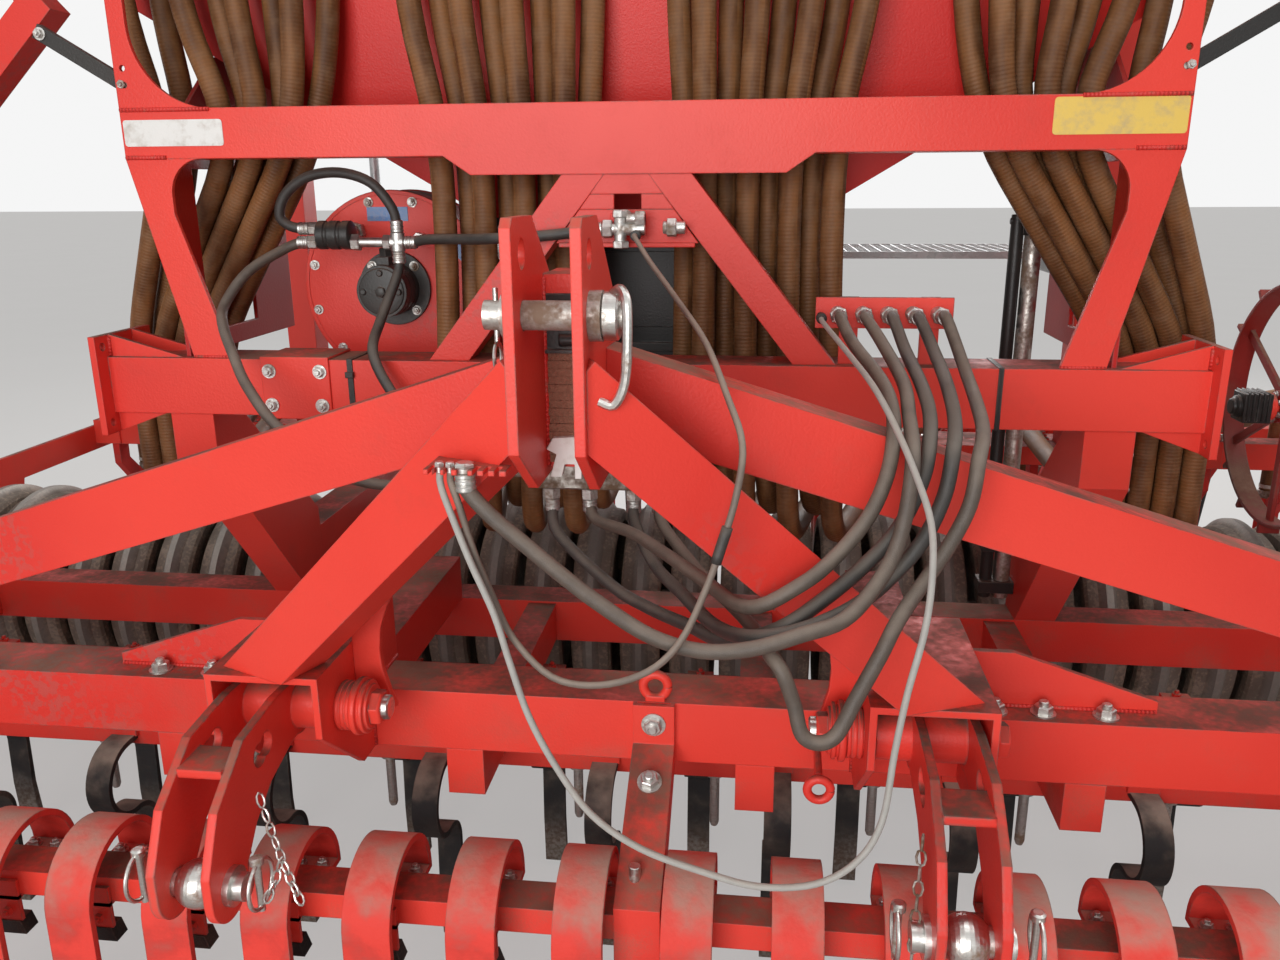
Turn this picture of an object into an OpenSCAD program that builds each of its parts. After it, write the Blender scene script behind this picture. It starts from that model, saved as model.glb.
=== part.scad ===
/* [Whole drill] */
// distance from one seed row to the next
row_pitch = 125; // [100:1:180]
// number of seed rows, in four ribbons of eight
rows = 32; // [32:1:32]
// height of the lower hitch pins above the floor
pin_height = 520; // [400:1:700]
// depth of the whole drill from the hitch lugs to the harrow tips
reach_rear = 3020; // [2600:1:3600]

/* [Hitch] */
// spread of the two lower hitch balls
pin_spread = 965; // [800:1:1100]
// height of the top link pin above the lower pins
mast_height = 735; // [600:1:800]
// radius of the lower hitch pins
lower_pin_r = 18.3; // [14:0.1:25]
// radius of the lower hitch balls
ball_r = 32; // [28:0.5:45]
// radius of the top link pin
top_pin_r = 15.9; // [12:0.1:25]
// radius of the pivot pins of the hitch arms
pivot_r = 20; // [15:0.1:30]
// radial gap of a pin in its bore
pin_gap = 0.3; // [0.1:0.05:1]
// thickness of the hitch arm plates
lug_t = 12; // [8:1:20]
// free space between the two plates of a hitch arm
lug_gap = 61; // [50:1:80]
// free space between the mast plates
mast_gap = 60; // [50:1:80]

/* [Frame beams] */
// side of the front beam's square section
beam = 100; // [80:1:140]
// front face of the front beam behind the hitch pins
beam_y = 350; // [300:1:450]
// underside of the front beam
beam_z = 525; // [450:1:600]
// section of the long and short braces
brace = 80; // [60:1:120]
// height of the long braces' section
long_brace_h = 95; // [60:1:120]
// side of the seed tank frame's tubes
tank_tube = 80; // [60:1:120]
// plate thickness of the tank frame's cut plates
cut_plate = 8; // [5:1:15]
// front plane of the tank frame
tank_y = 640; // [500:1:800]
// half width of the tank frame's upper beam
tank_half = 850; // [700:1:1000]
// underside of the tank frame's upper beam
upper_z = 1435; // [1300:1:1500]
// underside of the tank frame's lower cross tube
lower_z = 1000; // [900:1:1100]

/* [Levelling board] */
// number of spring paddles
paddles = 27; // [11:2:29]
// distance between the paddles
paddle_pitch = 145; // [120:1:200]
// width of a paddle's flat bar
paddle_w = 68; // [40:1:90]
// thickness of a paddle's flat bar
paddle_t = 10; // [6:1:16]

/* [Spring tines] */
// distance between tines in one row
tine_pitch = 300; // [200:1:400]
// width of the tine's flat spring steel
tine_w = 45; // [30:1:60]
// thickness of the tine's flat spring steel
tine_t = 10; // [6:1:16]

/* [Packer] */
// outer radius of the packer rings
ring_r = 280; // [220:1:350]
// axis of the packer behind the hitch pins
packer_y = 1550; // [1400:1:1700]
// radius of the packer shaft
shaft_r = 40; // [30:1:60]
// radius of the packer's stub ends
stub_r = 25; // [15:1:40]

/* [Seed tank] */
// half width of the tank's upper box
tank_box_half = 1020; // [800:1:1200]
// front wall of the tank
tank_front = 820; // [780:1:900]
// rear wall of the tank
tank_rear = 2000; // [1700:1:2200]
// top edge of the tank
tank_top = 2100; // [1900:1:2300]
// height where the funnel meets the upper box
funnel_top = 1760; // [1600:1:1900]
// height of the funnel's mouth
funnel_z = 1330; // [1200:1:1500]
// half width of the funnel's mouth
funnel_half = 300; // [200:1:400]
// sheet thickness of the tank
sheet = 5; // [3:0.5:8]

/* [Hoses and cables] */
// outer radius of a seed hose
hose_r = 17; // [12:0.5:17]
// outer radius of a hydraulic hose
hydraulic_r = 9; // [6:0.5:10]
// outer radius of a signal cable
cable_r = 4; // [3:0.5:5]

/* [Hidden] */
$fn = 96;
front_reach = -50;
y0 = -(front_reach + reach_rear) / 2;
pin_x = pin_spread / 2;
lug_in = pin_x - lug_gap / 2;
lug_out = pin_x + lug_gap / 2;
arm_in = lug_in - lug_t;
arm_out = lug_out + lug_t;
pivot_y = 240;
pivot_z = 655;
bracket_in = 376;
bracket_out = 542;
bracket_t = 10;
bracket_top = 733;
beam_top = beam_z + beam;
mast_in = mast_gap / 2;
mast_out = mast_in + 12;
top_z = pin_height + mast_height;
side_x = rows * row_pitch / 2;
beam_half = side_x - 50;
packer_z = ring_r;
upper_top = upper_z + tank_tube;
lower_top = lower_z + 100;
head_y = 1180;
marker_x = side_x - 100;
marker_y = 720;
marker_z = 860;
marker_fold = 43;
marker_len = 1230;
wheel_x = side_x - 550;
wheel_y = packer_y - 100;
wheel_z = 880;
wheel_r = 290;
fan_x = -480;
fan_z = 1200;
front_rail = 2080;
rear_rail = 2330;
boot_y = 165;
boot_z = 450;
harrow_y = reach_rear - 130;
end_top = 620;
holder_y = 612;
brace_holder_z = 1090;
manifold_z = 930;
function spout(k) = 6.25 + 12.5 * k;
// side of the outer seed hoses where they pass between and beside the rear posts
post_pass = [900, 945, 1140, 1180, 1220, 1260, 1300, 1340];
// way of a seed hose on the right side, from its spout to the boot of its coulter; m counts the
// hoses from the middle outwards, and ahead tells a coulter of the front rail
function seed_way(m, ahead) = let (a = spout(floor(m / 2)), odd = m % 2 == 1, k = m - 8,
    tier = odd ? 2400 : 2335, y = odd ? 755 : 795, low = odd ? 745 : 785,
    row = (m + 0.5) * row_pitch, top = m < 8 ? 70 + 45 * m : 530 + 52 * k,
    boot = (ahead ? front_rail : rear_rail) + boot_y)
    concat([[210 * sin(a), head_y - 210 * cos(a), tier], [300 * sin(a), head_y - 300 * cos(a), tier],
            [top, y, tier - 30], [top, y, 1690]],
        m < 8 ? [[85 + 36 * m, y, 1475], [85 + 36 * m, y, 1250], [80 + 40 * m, y, low],
            [90 + 75 * m, 1700, low]]
        : [[575 + 27 * k + (k > 5 ? 75 : 0), y, 1480], [858 + 22 * k, y + 95, 1085],
            [858 + 22 * k, y + 95, low], [post_pass[k], 1700, low],
            [0.8 * post_pass[k] + 0.2 * row, 1840, low]],
        ahead ? [[row, 2150, low]] : [[row, 2200, low], [row, 2410, low - 25]],
        [[row, boot, low - 60], [row, boot, boot_z]]);
// hydraulic hoses parked in the holder on the cross tube, down to the manifold behind the mast
pressure_hose = [[345, 612, 1185], [345, 560, 1185], [355, 450, 1165], [380, 300, 1140],
    [385, 200, 1120], [380, 140, 1090], [370, 110, 1055], [350, 90, 1015], [315, 70, 975],
    [275, 40, 950], [215, 50, 915], [155, 160, 905], [100, 260, 900], [40, 360, 895], [-25, 445, 885],
    [-40, 470, 905], [-40, 470, 930]];
brace_hose = [[385, 612, 1185], [385, 560, 1185], [400, 450, 1160], [410, 300, 1135], [405, 200, 1115],
    [400, 112, 1085], [393, 84, 1030], [380, 70, 980], [355, 43, 945], [320, 0, 925], [275, -20, 915],
    [220, -30, 900], [165, -30, 895], [110, -30, 910], [55, -30, 945], [10, -30, 980], [-25, -30, 1010],
    [-62, -30, 1042], [-88, -25, 1068], [-92, -24, 1080], [-92, -24, 1090]];
return_hose = [[425, 612, 1185], [425, 560, 1185], [430, 450, 1155], [432, 300, 1135], [430, 200, 1115],
    [422, 140, 1085], [412, 118, 1050], [388, 104, 1000], [350, 85, 960], [302, 52, 928],
    [250, 30, 898], [190, 95, 850], [140, 180, 830], [75, 270, 815], [10, 350, 815], [-85, 440, 860],
    [-100, 470, 900], [-100, 470, 930]];
drain_hose = [[465, 612, 1185], [465, 560, 1185], [470, 450, 1155], [465, 300, 1135], [460, 200, 1110],
    [450, 140, 1085], [440, 120, 1035], [415, 100, 985], [380, 85, 945], [335, 50, 920], [275, 8, 908],
    [220, 12, 895], [175, 100, 868], [125, 220, 860], [75, 350, 850], [35, 445, 880], [30, 470, 905],
    [30, 470, 930]];
marker_hose = [[505, 612, 1185], [505, 560, 1185], [515, 450, 1130], [505, 300, 1110], [495, 200, 1095],
    [480, 140, 1075], [470, 120, 1025], [445, 105, 975], [415, 85, 935], [385, 40, 910], [365, 20, 875],
    [340, 10, 825], [320, 0, 785], [300, -5, 775], [280, -5, 785], [270, 0, 820], [255, 0, 860],
    [242, 20, 870], [238, 80, 856], [205, 180, 850], [145, 320, 850], [80, 440, 880], [70, 470, 905],
    [70, 470, 930]];
// hoses of the fan's motor
fan_hose_upper = [[-590, 760, 1316], [-605, 760, 1316], [-628, 756, 1322], [-640, 750, 1340],
    [-625, 748, 1375], [-580, 745, 1405], [-520, 745, 1412], [-465, 745, 1395], [-432, 748, 1355],
    [-425, 752, 1325], [-425, 752, 1310]];
fan_hose_outer = [[-590, 752, 1292], [-605, 752, 1292], [-635, 740, 1280], [-680, 690, 1245],
    [-705, 645, 1195], [-690, 600, 1165], [-655, 560, 1115], [-615, 520, 1070], [-550, 485, 1010],
    [-450, 485, 935], [-340, 485, 920], [-255, 485, 942], [-210, 485, 950], [-190, 485, 950]];
fan_hose_inner = [[-425, 752, 1275], [-425, 752, 1260], [-428, 742, 1232], [-445, 690, 1160],
    [-432, 610, 1118], [-398, 585, 1060], [-345, 560, 1010], [-285, 520, 985], [-240, 494, 978],
    [-205, 485, 978], [-190, 485, 978]];
fan_hose_cross = [[-410, 752, 1292], [-396, 752, 1292], [-375, 742, 1297], [-330, 710, 1300],
    [-260, 660, 1302], [-210, 628, 1305], [-150, 622, 1308], [-90, 620, 1314], [-60, 616, 1320],
    [-35, 616, 1320]];
// grey cable to the tractor's socket, and the thin cable with its splice
grey_cable = [[-120, -24, 1090], [-120, -24, 1078], [-113, -29, 1058], [-88, -38, 995], [-62, -44, 935],
    [-45, -50, 880], [-25, -52, 815], [5, -55, 755], [45, -60, 700], [100, -60, 660], [170, -60, 635],
    [235, -60, 620], [300, -55, 625], [345, -50, 655], [370, -45, 705], [380, -35, 785],
    [390, -30, 855], [405, -20, 925], [412, 0, 980], [412, 30, 1030], [398, 75, 1075], [380, 140, 1116],
    [362, 220, 1146], [345, 360, 1160], [318, 560, 1180], [318, 612, 1180]];
thin_cable = [[20, 600, 1310], [20, 585, 1310], [30, 560, 1300], [55, 500, 1275], [110, 340, 1235],
    [155, 200, 1200], [185, 100, 1155], [205, 30, 1115], [200, 0, 1065], [185, -10, 1010],
    [170, -20, 965], [145, -48, 915], [110, -55, 880], [55, -50, 858], [0, -40, 860], [-45, -30, 900],
    [-68, -26, 950], [-86, -26, 1000], [-100, -27, 1055], [-108, -24, 1078], [-108, -24, 1090]];
function unit(v) = v / norm(v);
// the corner b of a way is rounded between its neighbours a and c
function corner(a, b, c, reach) = let (q = min(reach, 0.48 * norm(a - b), 0.48 * norm(c - b)),
    s = b + q * unit(a - b), e = b + q * unit(c - b), turn = acos(-unit(a - b) * unit(c - b)),
    n = turn > 60 ? 2 : 1)
    turn < 5 ? [b] : [for (j = [0 : n]) let (t = j / n)
        (1 - t) * (1 - t) * s + 2 * t * (1 - t) * b + t * t * e];
function rounded(p, reach) = [p[0], for (i = [1 : len(p) - 2]) each corner(p[i - 1], p[i], p[i + 1], reach),
    p[len(p) - 1]];
function heading(p, i) = i == 0 ? unit(p[1] - p[0]) : i == len(p) - 1 ? unit(p[i] - p[i - 1])
    : unit(unit(p[i] - p[i - 1]) + unit(p[i + 1] - p[i]));
// one direction across each ring, carried along the way so that the tube doesn't twist
function across(p, i, last) = i == len(p) ? [] : let (t = heading(p, i), n = unit(last - (last * t) * t))
    concat([n], across(p, i + 1, n));

paint = [0.80, 0.12, 0.09];
deep = [0.55, 0.07, 0.06];
black = [0.07, 0.07, 0.07];
steel = [0.62, 0.60, 0.57];
worn = [0.45, 0.41, 0.37];
galv = [0.70, 0.71, 0.70];

// all pieces are drawn from the lower hitch pins and moved back by y0
module place() { translate([0, y0, 0]) children(); }
module both() { children(); mirror([1, 0, 0]) children(); }
// a box from its low corner to its high corner
module box(a, b) { translate(a) cube([b[0] - a[0], b[1] - a[1], b[2] - a[2]]); }
// a plate lying across the drill, outline given as side and height
module plate_xz(y, t) { translate([0, y + t, 0]) rotate([90, 0, 0]) linear_extrude(t) children(); }
// a plate lying along the drill, outline given as depth and height
module plate_yz(x, t) { translate([x, 0, 0]) rotate([90, 0, 90]) linear_extrude(t) children(); }
module rod_x(x1, x2, y, z, r) { translate([x1, y, z]) rotate([0, 90, 0]) cylinder(h = x2 - x1, r = r); }
module rod_y(x, y1, y2, z, r) { translate([x, y1, z]) rotate([-90, 0, 0]) cylinder(h = y2 - y1, r = r); }
// a square section tube from point a to point b
module bar(a, b, w, h) {
    d = b - a;
    flat = sqrt(d[0] * d[0] + d[1] * d[1]);
    translate(a) rotate([0, -atan2(d[2], flat), atan2(d[1], d[0])])
        translate([0, -w / 2, -h / 2]) cube([norm(d), w, h]);
}
module rod(a, b, r) {
    d = b - a;
    flat = sqrt(d[0] * d[0] + d[1] * d[1]);
    translate(a) rotate([0, 90 - atan2(d[2], flat), atan2(d[1], d[0])]) cylinder(h = norm(d), r = r);
}

/* front beam and three point hitch */
module front_beam() color(paint) place()
    box([-beam_half, beam_y, beam_z], [beam_half, beam_y + beam, beam_top]);

module bracket_cheek() polygon([[165, 640], [165, bracket_top - 10], [470, bracket_top - 10],
    [470, beam_top], [beam_y, beam_top], [beam_y, beam_z], [300, beam_z]]);

module hitch_brackets() color(paint) place() both() difference() {
    union() {
        plate_yz(bracket_in, bracket_t) bracket_cheek();
        plate_yz(bracket_out - bracket_t, bracket_t) bracket_cheek();
        box([bracket_in, 165, bracket_top - 10], [bracket_out, 470, bracket_top]);
        plate_xz(395, 10) polygon([[bracket_out, beam_top], [bracket_out, bracket_top - 20],
            [610, bracket_top - 20], [824, beam_top + 18], [824, beam_top]]);
    }
    rod_x(bracket_in - 5, bracket_out + 5, pivot_y, pivot_z, pivot_r + 1);
}

module hitch_pivots() color(worn) place() both() {
    rod_x(350, bracket_out + 12, pivot_y, pivot_z, pivot_r);
    rod_x(bracket_in - 26, bracket_in, pivot_y, pivot_z, 33);
    rod_x(bracket_out, bracket_out + 12, pivot_y, pivot_z, 30);
}

// sickle shaped outline of a hitch arm plate
module sickle() {
    circle_at(pivot_y, pivot_z, 46);
    circle_at(0, pin_height, 46);
    difference() {
        polygon([[pivot_y + 18, pivot_z + 42], [170, 700], [70, 690], [-10, 632], [-46, 560],
            [-46, 520], [46, 520], [80, 560], [130, 592], [200, 612], [pivot_y + 30, pivot_z - 34]]);
        circle_at(108, 646, 17);
        circle_at(128, 652, 17);
    }
}
module circle_at(y, z, r) { translate([y, z]) circle(r = r); }

module hitch_arm() difference() {
    union() {
        plate_yz(arm_in, lug_t) sickle();
        plate_yz(lug_out, lug_t) sickle();
        rod_x(bracket_in + bracket_t + 6, arm_out, pivot_y, pivot_z, 36);
        box([lug_in, 30, 655], [lug_out, 90, 667]);
    }
    rod_x(bracket_in, bracket_out, pivot_y, pivot_z, pivot_r + pin_gap);
    rod_x(bracket_in, bracket_out, 0, pin_height, lower_pin_r + pin_gap);
}
module hitch_arm_right() color(paint) place() hitch_arm();
module hitch_arm_left() color(paint) place() mirror([1, 0, 0]) hitch_arm();

// the pin, its two collars and the ball as one turned profile, from the ball's centre
module hitch_pin() translate([pin_x, 0, pin_height]) rotate([0, 90, 0]) rotate_extrude()
    polygon(concat([[0, arm_in - pin_x - 22], [lower_pin_r, arm_in - pin_x - 22],
        [lower_pin_r, arm_in - pin_x - 8], [26, arm_in - pin_x - 8], [26, arm_in - pin_x],
        [lower_pin_r, arm_in - pin_x], [lower_pin_r, -ball_r * sin(50)]],
        [for (a = [-50 : 10 : 50]) [ball_r * cos(a), ball_r * sin(a)]],
        [[lower_pin_r, ball_r * sin(50)], [lower_pin_r, arm_out - pin_x], [27, arm_out - pin_x],
        [27, arm_out - pin_x + 10], [lower_pin_r, arm_out - pin_x + 10],
        [lower_pin_r, arm_out - pin_x + 14], [0, arm_out - pin_x + 14]]));
module hitch_pin_right() color(steel) place() hitch_pin();
module hitch_pin_left() color(steel) place() mirror([1, 0, 0]) hitch_pin();

module mast_cheek() difference() {
    polygon([[-30, top_z - 143], [-30, top_z + 92], [-20, top_z + 102], [72, top_z + 102],
        [210, top_z - 5], [210, 1050], [60, 1050]]);
    circle_at(16, top_z, top_pin_r + pin_gap);
    circle_at(16, top_z + 64, top_pin_r + 0.3);
}
module mast() color(paint) place() {
    both() plate_yz(mast_in, 12) mast_cheek();
    box([-mast_in, 120, 1060], [mast_in, 210, 1290]);
    plate_yz(-mast_in, mast_gap) polygon([[210, 1090], [210, 1190], [630, 1095], [630, 1005]]);
}

module top_link_pin() color(steel) place() {
    rod_x(-mast_out - 30, mast_out + 40, 16, top_z, top_pin_r);
    rod_x(mast_out, mast_out + 14, 16, top_z, 27);
    rod_x(-mast_out - 10, -mast_out, 16, top_z, 24);
}

module hitch_braces() color(paint) place() both() {
    long_brace();
    short_brace();
}
module long_brace() difference() {
    bar([20, 160, 1160], [1720, 408, 593], brace, long_brace_h);
    box([-200, -200, 900], [mast_out, 600, 1400]);
    box([1200, 200, 300], [1900, 600, beam_top]);
}

module short_brace() difference() {
    bar([10, 12, 1182], [500, 224, 689], brace, brace);
    box([-200, -200, 900], [mast_out, 600, 1400]);
    box([300, 0, 500], [800, 600, bracket_top]);
}

/* lower frame */
module frame_rails() color(paint) place() both() {
    box([406, beam_y + beam, 530], [506, 950, beam_top]);
    box([750, 1030, 580], [830, 2080, 660]);
}

module tine_frame() color(paint) place() both() for (x = [200, 690, side_x - 500, side_x - 140])
    box([x, beam_y, 445], [x + 60, 950, beam_z]);

module tine_beams() color(paint) place() for (y = [520, 760])
    box([-marker_x, y, 395], [marker_x, y + 50, 445]);

module arc(r1, r2, a1, a2) difference() {
    circle(r = r2);
    circle(r = r1);
    for (k = [0 : 30 : 330]) {
        // wedges outside the wanted sweep are cut away
        if (!(k >= a1 && k + 30 <= a2)) wedge(k, k + 30, r2 + 5);
    }
}
module wedge(a1, a2, r) polygon([[0, 0], [r * 1.1 * cos(a1), r * 1.1 * sin(a1)],
    [r * 1.1 * cos(a2), r * 1.1 * sin(a2)]]);

// outline of one spring tine, drawn from the front face of its beam
module tine_outline() {
    translate([-30, 345]) arc(62, 62 + tine_t, 90, 270);
    translate([-32, 345 + 62]) square([32, tine_t]);
    translate([-30, 223]) arc(50, 50 + tine_t, 0, 90);
    polygon([[20, 224], [30, 224], [26, 120], [34, 12], [18, 12], [14, 120]]);
}
module tine() rotate([90, 0, 90]) translate([0, 0, -tine_w / 2]) linear_extrude(tine_w) tine_outline();

module spring_tines() color(black) place() {
    for (k = [-6 : 6]) translate([k * tine_pitch - 30, 520, 0]) tine();
    for (k = [-6 : 5]) translate([k * tine_pitch + 120, 760, 0]) tine();
}

/* levelling board */
module levelling_beam() color(paint) place() box([20 - beam_half, 120, 380], [beam_half - 20, 180, 420]);

module paddle_outline() {
    translate([145, 400]) arc(82, 82 + paddle_t, 0, 180);
    translate([180, 390]) square([57, paddle_t]);
    polygon([[53, 401], [63, 401], [60, 240], [46, 120], [30, 0], [18, 0], [35, 120], [50, 240]]);
}
module levelling_paddles() color(paint) place() for (k = [-(paddles - 1) / 2 : (paddles - 1) / 2])
    translate([k * paddle_pitch, 0, 0]) plate_yz(-paddle_w / 2, paddle_w) paddle_outline();

module levelling_arm(x) difference() {
    plate_yz(x - 32, 64) polygon([[338, beam_top], [beam_y, beam_top], [beam_y, 515], [200, 420],
        [120, 420], [120, 330], [108, 330], [108, 440], [338, 560]]);
    plate_yz(x - 26, 52) polygon([[346, beam_top + 5], [beam_y + 5, beam_top + 5], [beam_y + 5, 500],
        [200, 410], [119, 410], [119, 432], [346, 550]]);
}
module levelling_arms() color(paint) place() for (x = [-1378, 74, 1378]) levelling_arm(x);

/* packer */
module packer_beam() color(paint) place() box([-side_x, 950, 440], [side_x, 1030, 530]);

module packer_end_plates() color(paint) place() both() difference() {
    union() {
        plate_yz(side_x, 12) polygon([[950, 440], [950, 540], [1150, end_top], [front_rail + 80, end_top],
            [front_rail + 80, 540], [packer_y + 170, 540], [packer_y + 80, packer_z - 80],
            [packer_y - 80, packer_z - 80], [packer_y - 210, 440]]);
        rod_x(side_x, side_x + 26, packer_y, packer_z, 58);
    }
    rod_x(side_x - 20, side_x + 40, packer_y, packer_z, stub_r + pin_gap);
}

// section of one packer ring, radius against side
module ring_section() polygon([[shaft_r - 5, -5], [228, -5], [228, -50], [250, -50], [258, -44],
    [262, -22], [ring_r, -8], [ring_r, 8], [262, 22], [258, 44], [250, 50], [228, 50], [228, 5],
    [shaft_r - 5, 5]]);
module packer_roller() color(worn) place() translate([0, packer_y, packer_z]) rotate([0, 90, 0]) {
    translate([0, 0, 40 - side_x]) cylinder(h = 2 * side_x - 80, r = shaft_r);
    translate([0, 0, -side_x - 20]) cylinder(h = 2 * side_x + 40, r = stub_r);
    for (k = [0 : rows - 1]) translate([0, 0, (k - (rows - 1) / 2) * row_pitch])
        rotate_extrude() ring_section();
}

module rear_cross_beam() color(paint) place() box([-1100, 1700, 660], [1100, 1780, 710]);

/* seed tank frame */
module tank_upper_beam() color(paint) place() {
    box([-tank_half, tank_y, upper_z], [tank_half, tank_y + tank_tube, upper_top]);
    plate_xz(tank_y, 5) polygon([[-300, upper_z], [300, upper_z], [255, upper_z - 30], [-255, upper_z - 30]]);
}

// leg below the beam, its window corner rounded, and the horn above it
module leg_outline() {
    polygon([[tank_half, upper_z], [772, lower_top], [700, lower_top], [775, 1345], [775, upper_z]]);
    difference() {
        translate([715, 1375]) square([60, 60]);
        circle_at(715, 1375, 60);
    }
}
module horn_outline() difference() {
    polygon([[tank_half, upper_top], [tank_half, 2060], [820, 2060], [820, 1645], [690, upper_top]]);
    circle_at(690, 1645, 130);
    translate([560, 1645]) square([260, 600]);
}
module tank_side_plates() color(paint) place() both() {
    plate_xz(tank_y, cut_plate) leg_outline();
    difference() {
        plate_xz(tank_y, cut_plate) horn_outline();
        rod_y(835, tank_y - 5, tank_y + 15, 1552, 5);
        rod_y(835, tank_y - 5, tank_y + 15, 1578, 5);
    }
}

module tank_side_panels() color(deep) place() both() difference() {
    plate_yz(782, cut_plate) polygon([[648, lower_top], [1070, lower_top], [1070, 1617], [850, 1617],
        [720, upper_top], [720, upper_z], [648, upper_z]]);
    plate_yz(777, 20) {
        translate([725, 1135]) square([185, 285]);
    }
}

module flange() {
    difference() {
        box([930, 600, 964], [942, 770, 1139]);
        box([925, 655, 1015], [950, 715, 1085]);
        for (y = [620, 750], z = [984, 1119]) rod_x(925, 950, y, z, 7);
    }
    for (y = [640, 712]) plate_xz(y, 8) {
        polygon([[792, lower_top], [930, lower_top], [930, 1139]]);
        polygon([[832, lower_z], [930, lower_z], [930, 964]]);
    }
}
module tank_cross_tube() color(paint) place() {
    box([-930, 630, lower_z], [930, 730, lower_top]);
    both() flange();
}

module tank_struts() color(paint) place() both() plate_xz(tank_y + 5, 60)
    polygon([[12, upper_z], [82, upper_z], [345, lower_top], [275, lower_top]]);

module tank_pillars() color(paint) place() both() {
    plate_yz(750, 80) polygon([[640, lower_z], [730, lower_z], [1030, 700], [1030, 530], [950, 530],
        [640, 900]]);
    box([tank_box_half, 1700, 710], [tank_box_half + 80, 1780, 2050]);
}

/* seed tank */
module tank_body(d) intersection() {
    plate_xz(500, 2000) polygon([[-tank_box_half + d, tank_top + d], [tank_box_half - d, tank_top + d],
        [tank_box_half - d, funnel_top], [funnel_half - d, funnel_z - d], [-funnel_half + d, funnel_z - d],
        [-tank_box_half + d, funnel_top]]);
    plate_yz(-1500, 3000) polygon([[tank_front + d, tank_top + d], [tank_rear - d, tank_top + d],
        [tank_rear - d, funnel_top], [1250 - d, funnel_z - d], [900 + d, funnel_z - d],
        [tank_front + d, funnel_top]]);
}
module hopper() color(paint) place() {
    difference() {
        tank_body(0);
        tank_body(sheet);
    }
    difference() {
        box([-tank_box_half, tank_front, tank_top], [tank_box_half, 1388, tank_top + 5]);
        translate([0, head_y, tank_top - 5]) cylinder(h = 20, r = 56);
    }
    for (x = [-900, -300, 300, 900]) difference() {
        box([x - 10, 1370, tank_top + 5], [x + 10, 1410, tank_top + 26]);
        rod_x(x - 20, x + 20, 1400, tank_top + 16, 6.5);
    }
}
module lid_hinge_rod() color(steel) place() {
    rod_x(-930, 930, 1400, tank_top + 16, 6);
    both() rod_x(910, 918, 1400, tank_top + 16, 11);
}
module hopper_lid() color(galv) place() difference() {
    union() {
        box([-1028, 1420, tank_top + 6], [1028, 2012, tank_top + 10]);
        box([-1028, 2006, tank_top - 35], [1028, 2012, tank_top + 6]);
        for (x = [-700, 0, 700]) {
            rod_x(x - 40, x + 40, 1400, tank_top + 16, 10);
            box([x - 40, 1400, tank_top + 6], [x + 40, 1430, tank_top + 14]);
        }
    }
    rod_x(-1000, 1000, 1400, tank_top + 16, 6 + pin_gap);
}

module riser() color(black) place() translate([0, head_y, funnel_z])
    cylinder(h = 2290 - funnel_z, r = 55);

module distributor_head() color(black) place() translate([0, head_y, 0]) {
    rotate_extrude() polygon([[0, 2290], [70, 2290], [180, 2305], [180, 2430], [110, 2475], [0, 2485]]);
    both() for (k = [0 : 7], z = [2335, 2400])
        rotate([0, 0, -90 + spout(k)]) translate([150, 0, z]) rotate([0, 90, 0]) cylinder(h = 60, r = 17);
}

module meter_housing() color(galv) place() {
    box([-funnel_half, 900, 1290], [funnel_half, 1250, funnel_z]);
    box([-150, 950, 1090], [150, 1210, 1290]);
    box([-150, 890, lower_z], [150, 1210, 1090]);
    both() rod_x(150, 190, 1080, 1190, 85);
}

module fan_housing() color(paint) place() difference() {
    union() {
        rod_y(fan_x, 880, 1000, fan_z, 180);
        box([fan_x, 895, fan_z - 180], [-150, 985, fan_z - 90]);
    }
    rod_y(fan_x, 886, 994, fan_z, 172);
    rod_y(fan_x, 990, 1010, fan_z, 100);
    rod_y(fan_x, 870, 890, fan_z, 20);
}
module fan_rotor() color(galv) place() {
    rod_y(fan_x, 862, 900, fan_z, 14);
    rod_y(fan_x, 900, 906, fan_z, 150);
    for (a = [0 : 45 : 315]) translate([fan_x, 0, fan_z]) rotate([0, a, 0])
        box([60, 903, -3], [149, 975, 3]);
}
module fan_motor() color(black) place() difference() {
    union() {
        rod_y(fan_x, 800, 872, fan_z, 48);
        rod_y(fan_x, 872, 880, fan_z, 70);
    }
    rod_y(fan_x, 855, 885, fan_z, 14 + pin_gap);
}

/* coulters and harrow */
module coulter_rails() color(paint) place() {
    box([-side_x, front_rail, 560], [side_x, front_rail + 80, 640]);
    box([-beam_half, rear_rail, 560], [beam_half, rear_rail + 70, 630]);
}
// one drag coulter, drawn from the front edge of its rail
module coulter() {
    plate_yz(-12, 24) polygon([[10, 560], [62, 560], [60, 500], [130, 430], [150, 200], [118, 20],
        [98, 0], [84, 0], [78, 20], [96, 180], [90, 400], [10, 490]]);
    translate([0, boot_y, 60]) cylinder(h = boot_z - 60, r = 21);
    plate_yz(-8, 16) polygon([[100, 200], [180, 200], [180, 60], [170, 20], [130, 4], [90, 4]]);
}
module coulters_front() color(paint) place() for (k = [0 : 2 : rows - 1])
    translate([(k - (rows - 1) / 2) * row_pitch, front_rail, 0]) coulter();
module coulters_rear() color(paint) place() for (k = [1 : 2 : rows - 1])
    translate([(k - (rows - 1) / 2) * row_pitch, rear_rail, 0]) coulter();

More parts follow.
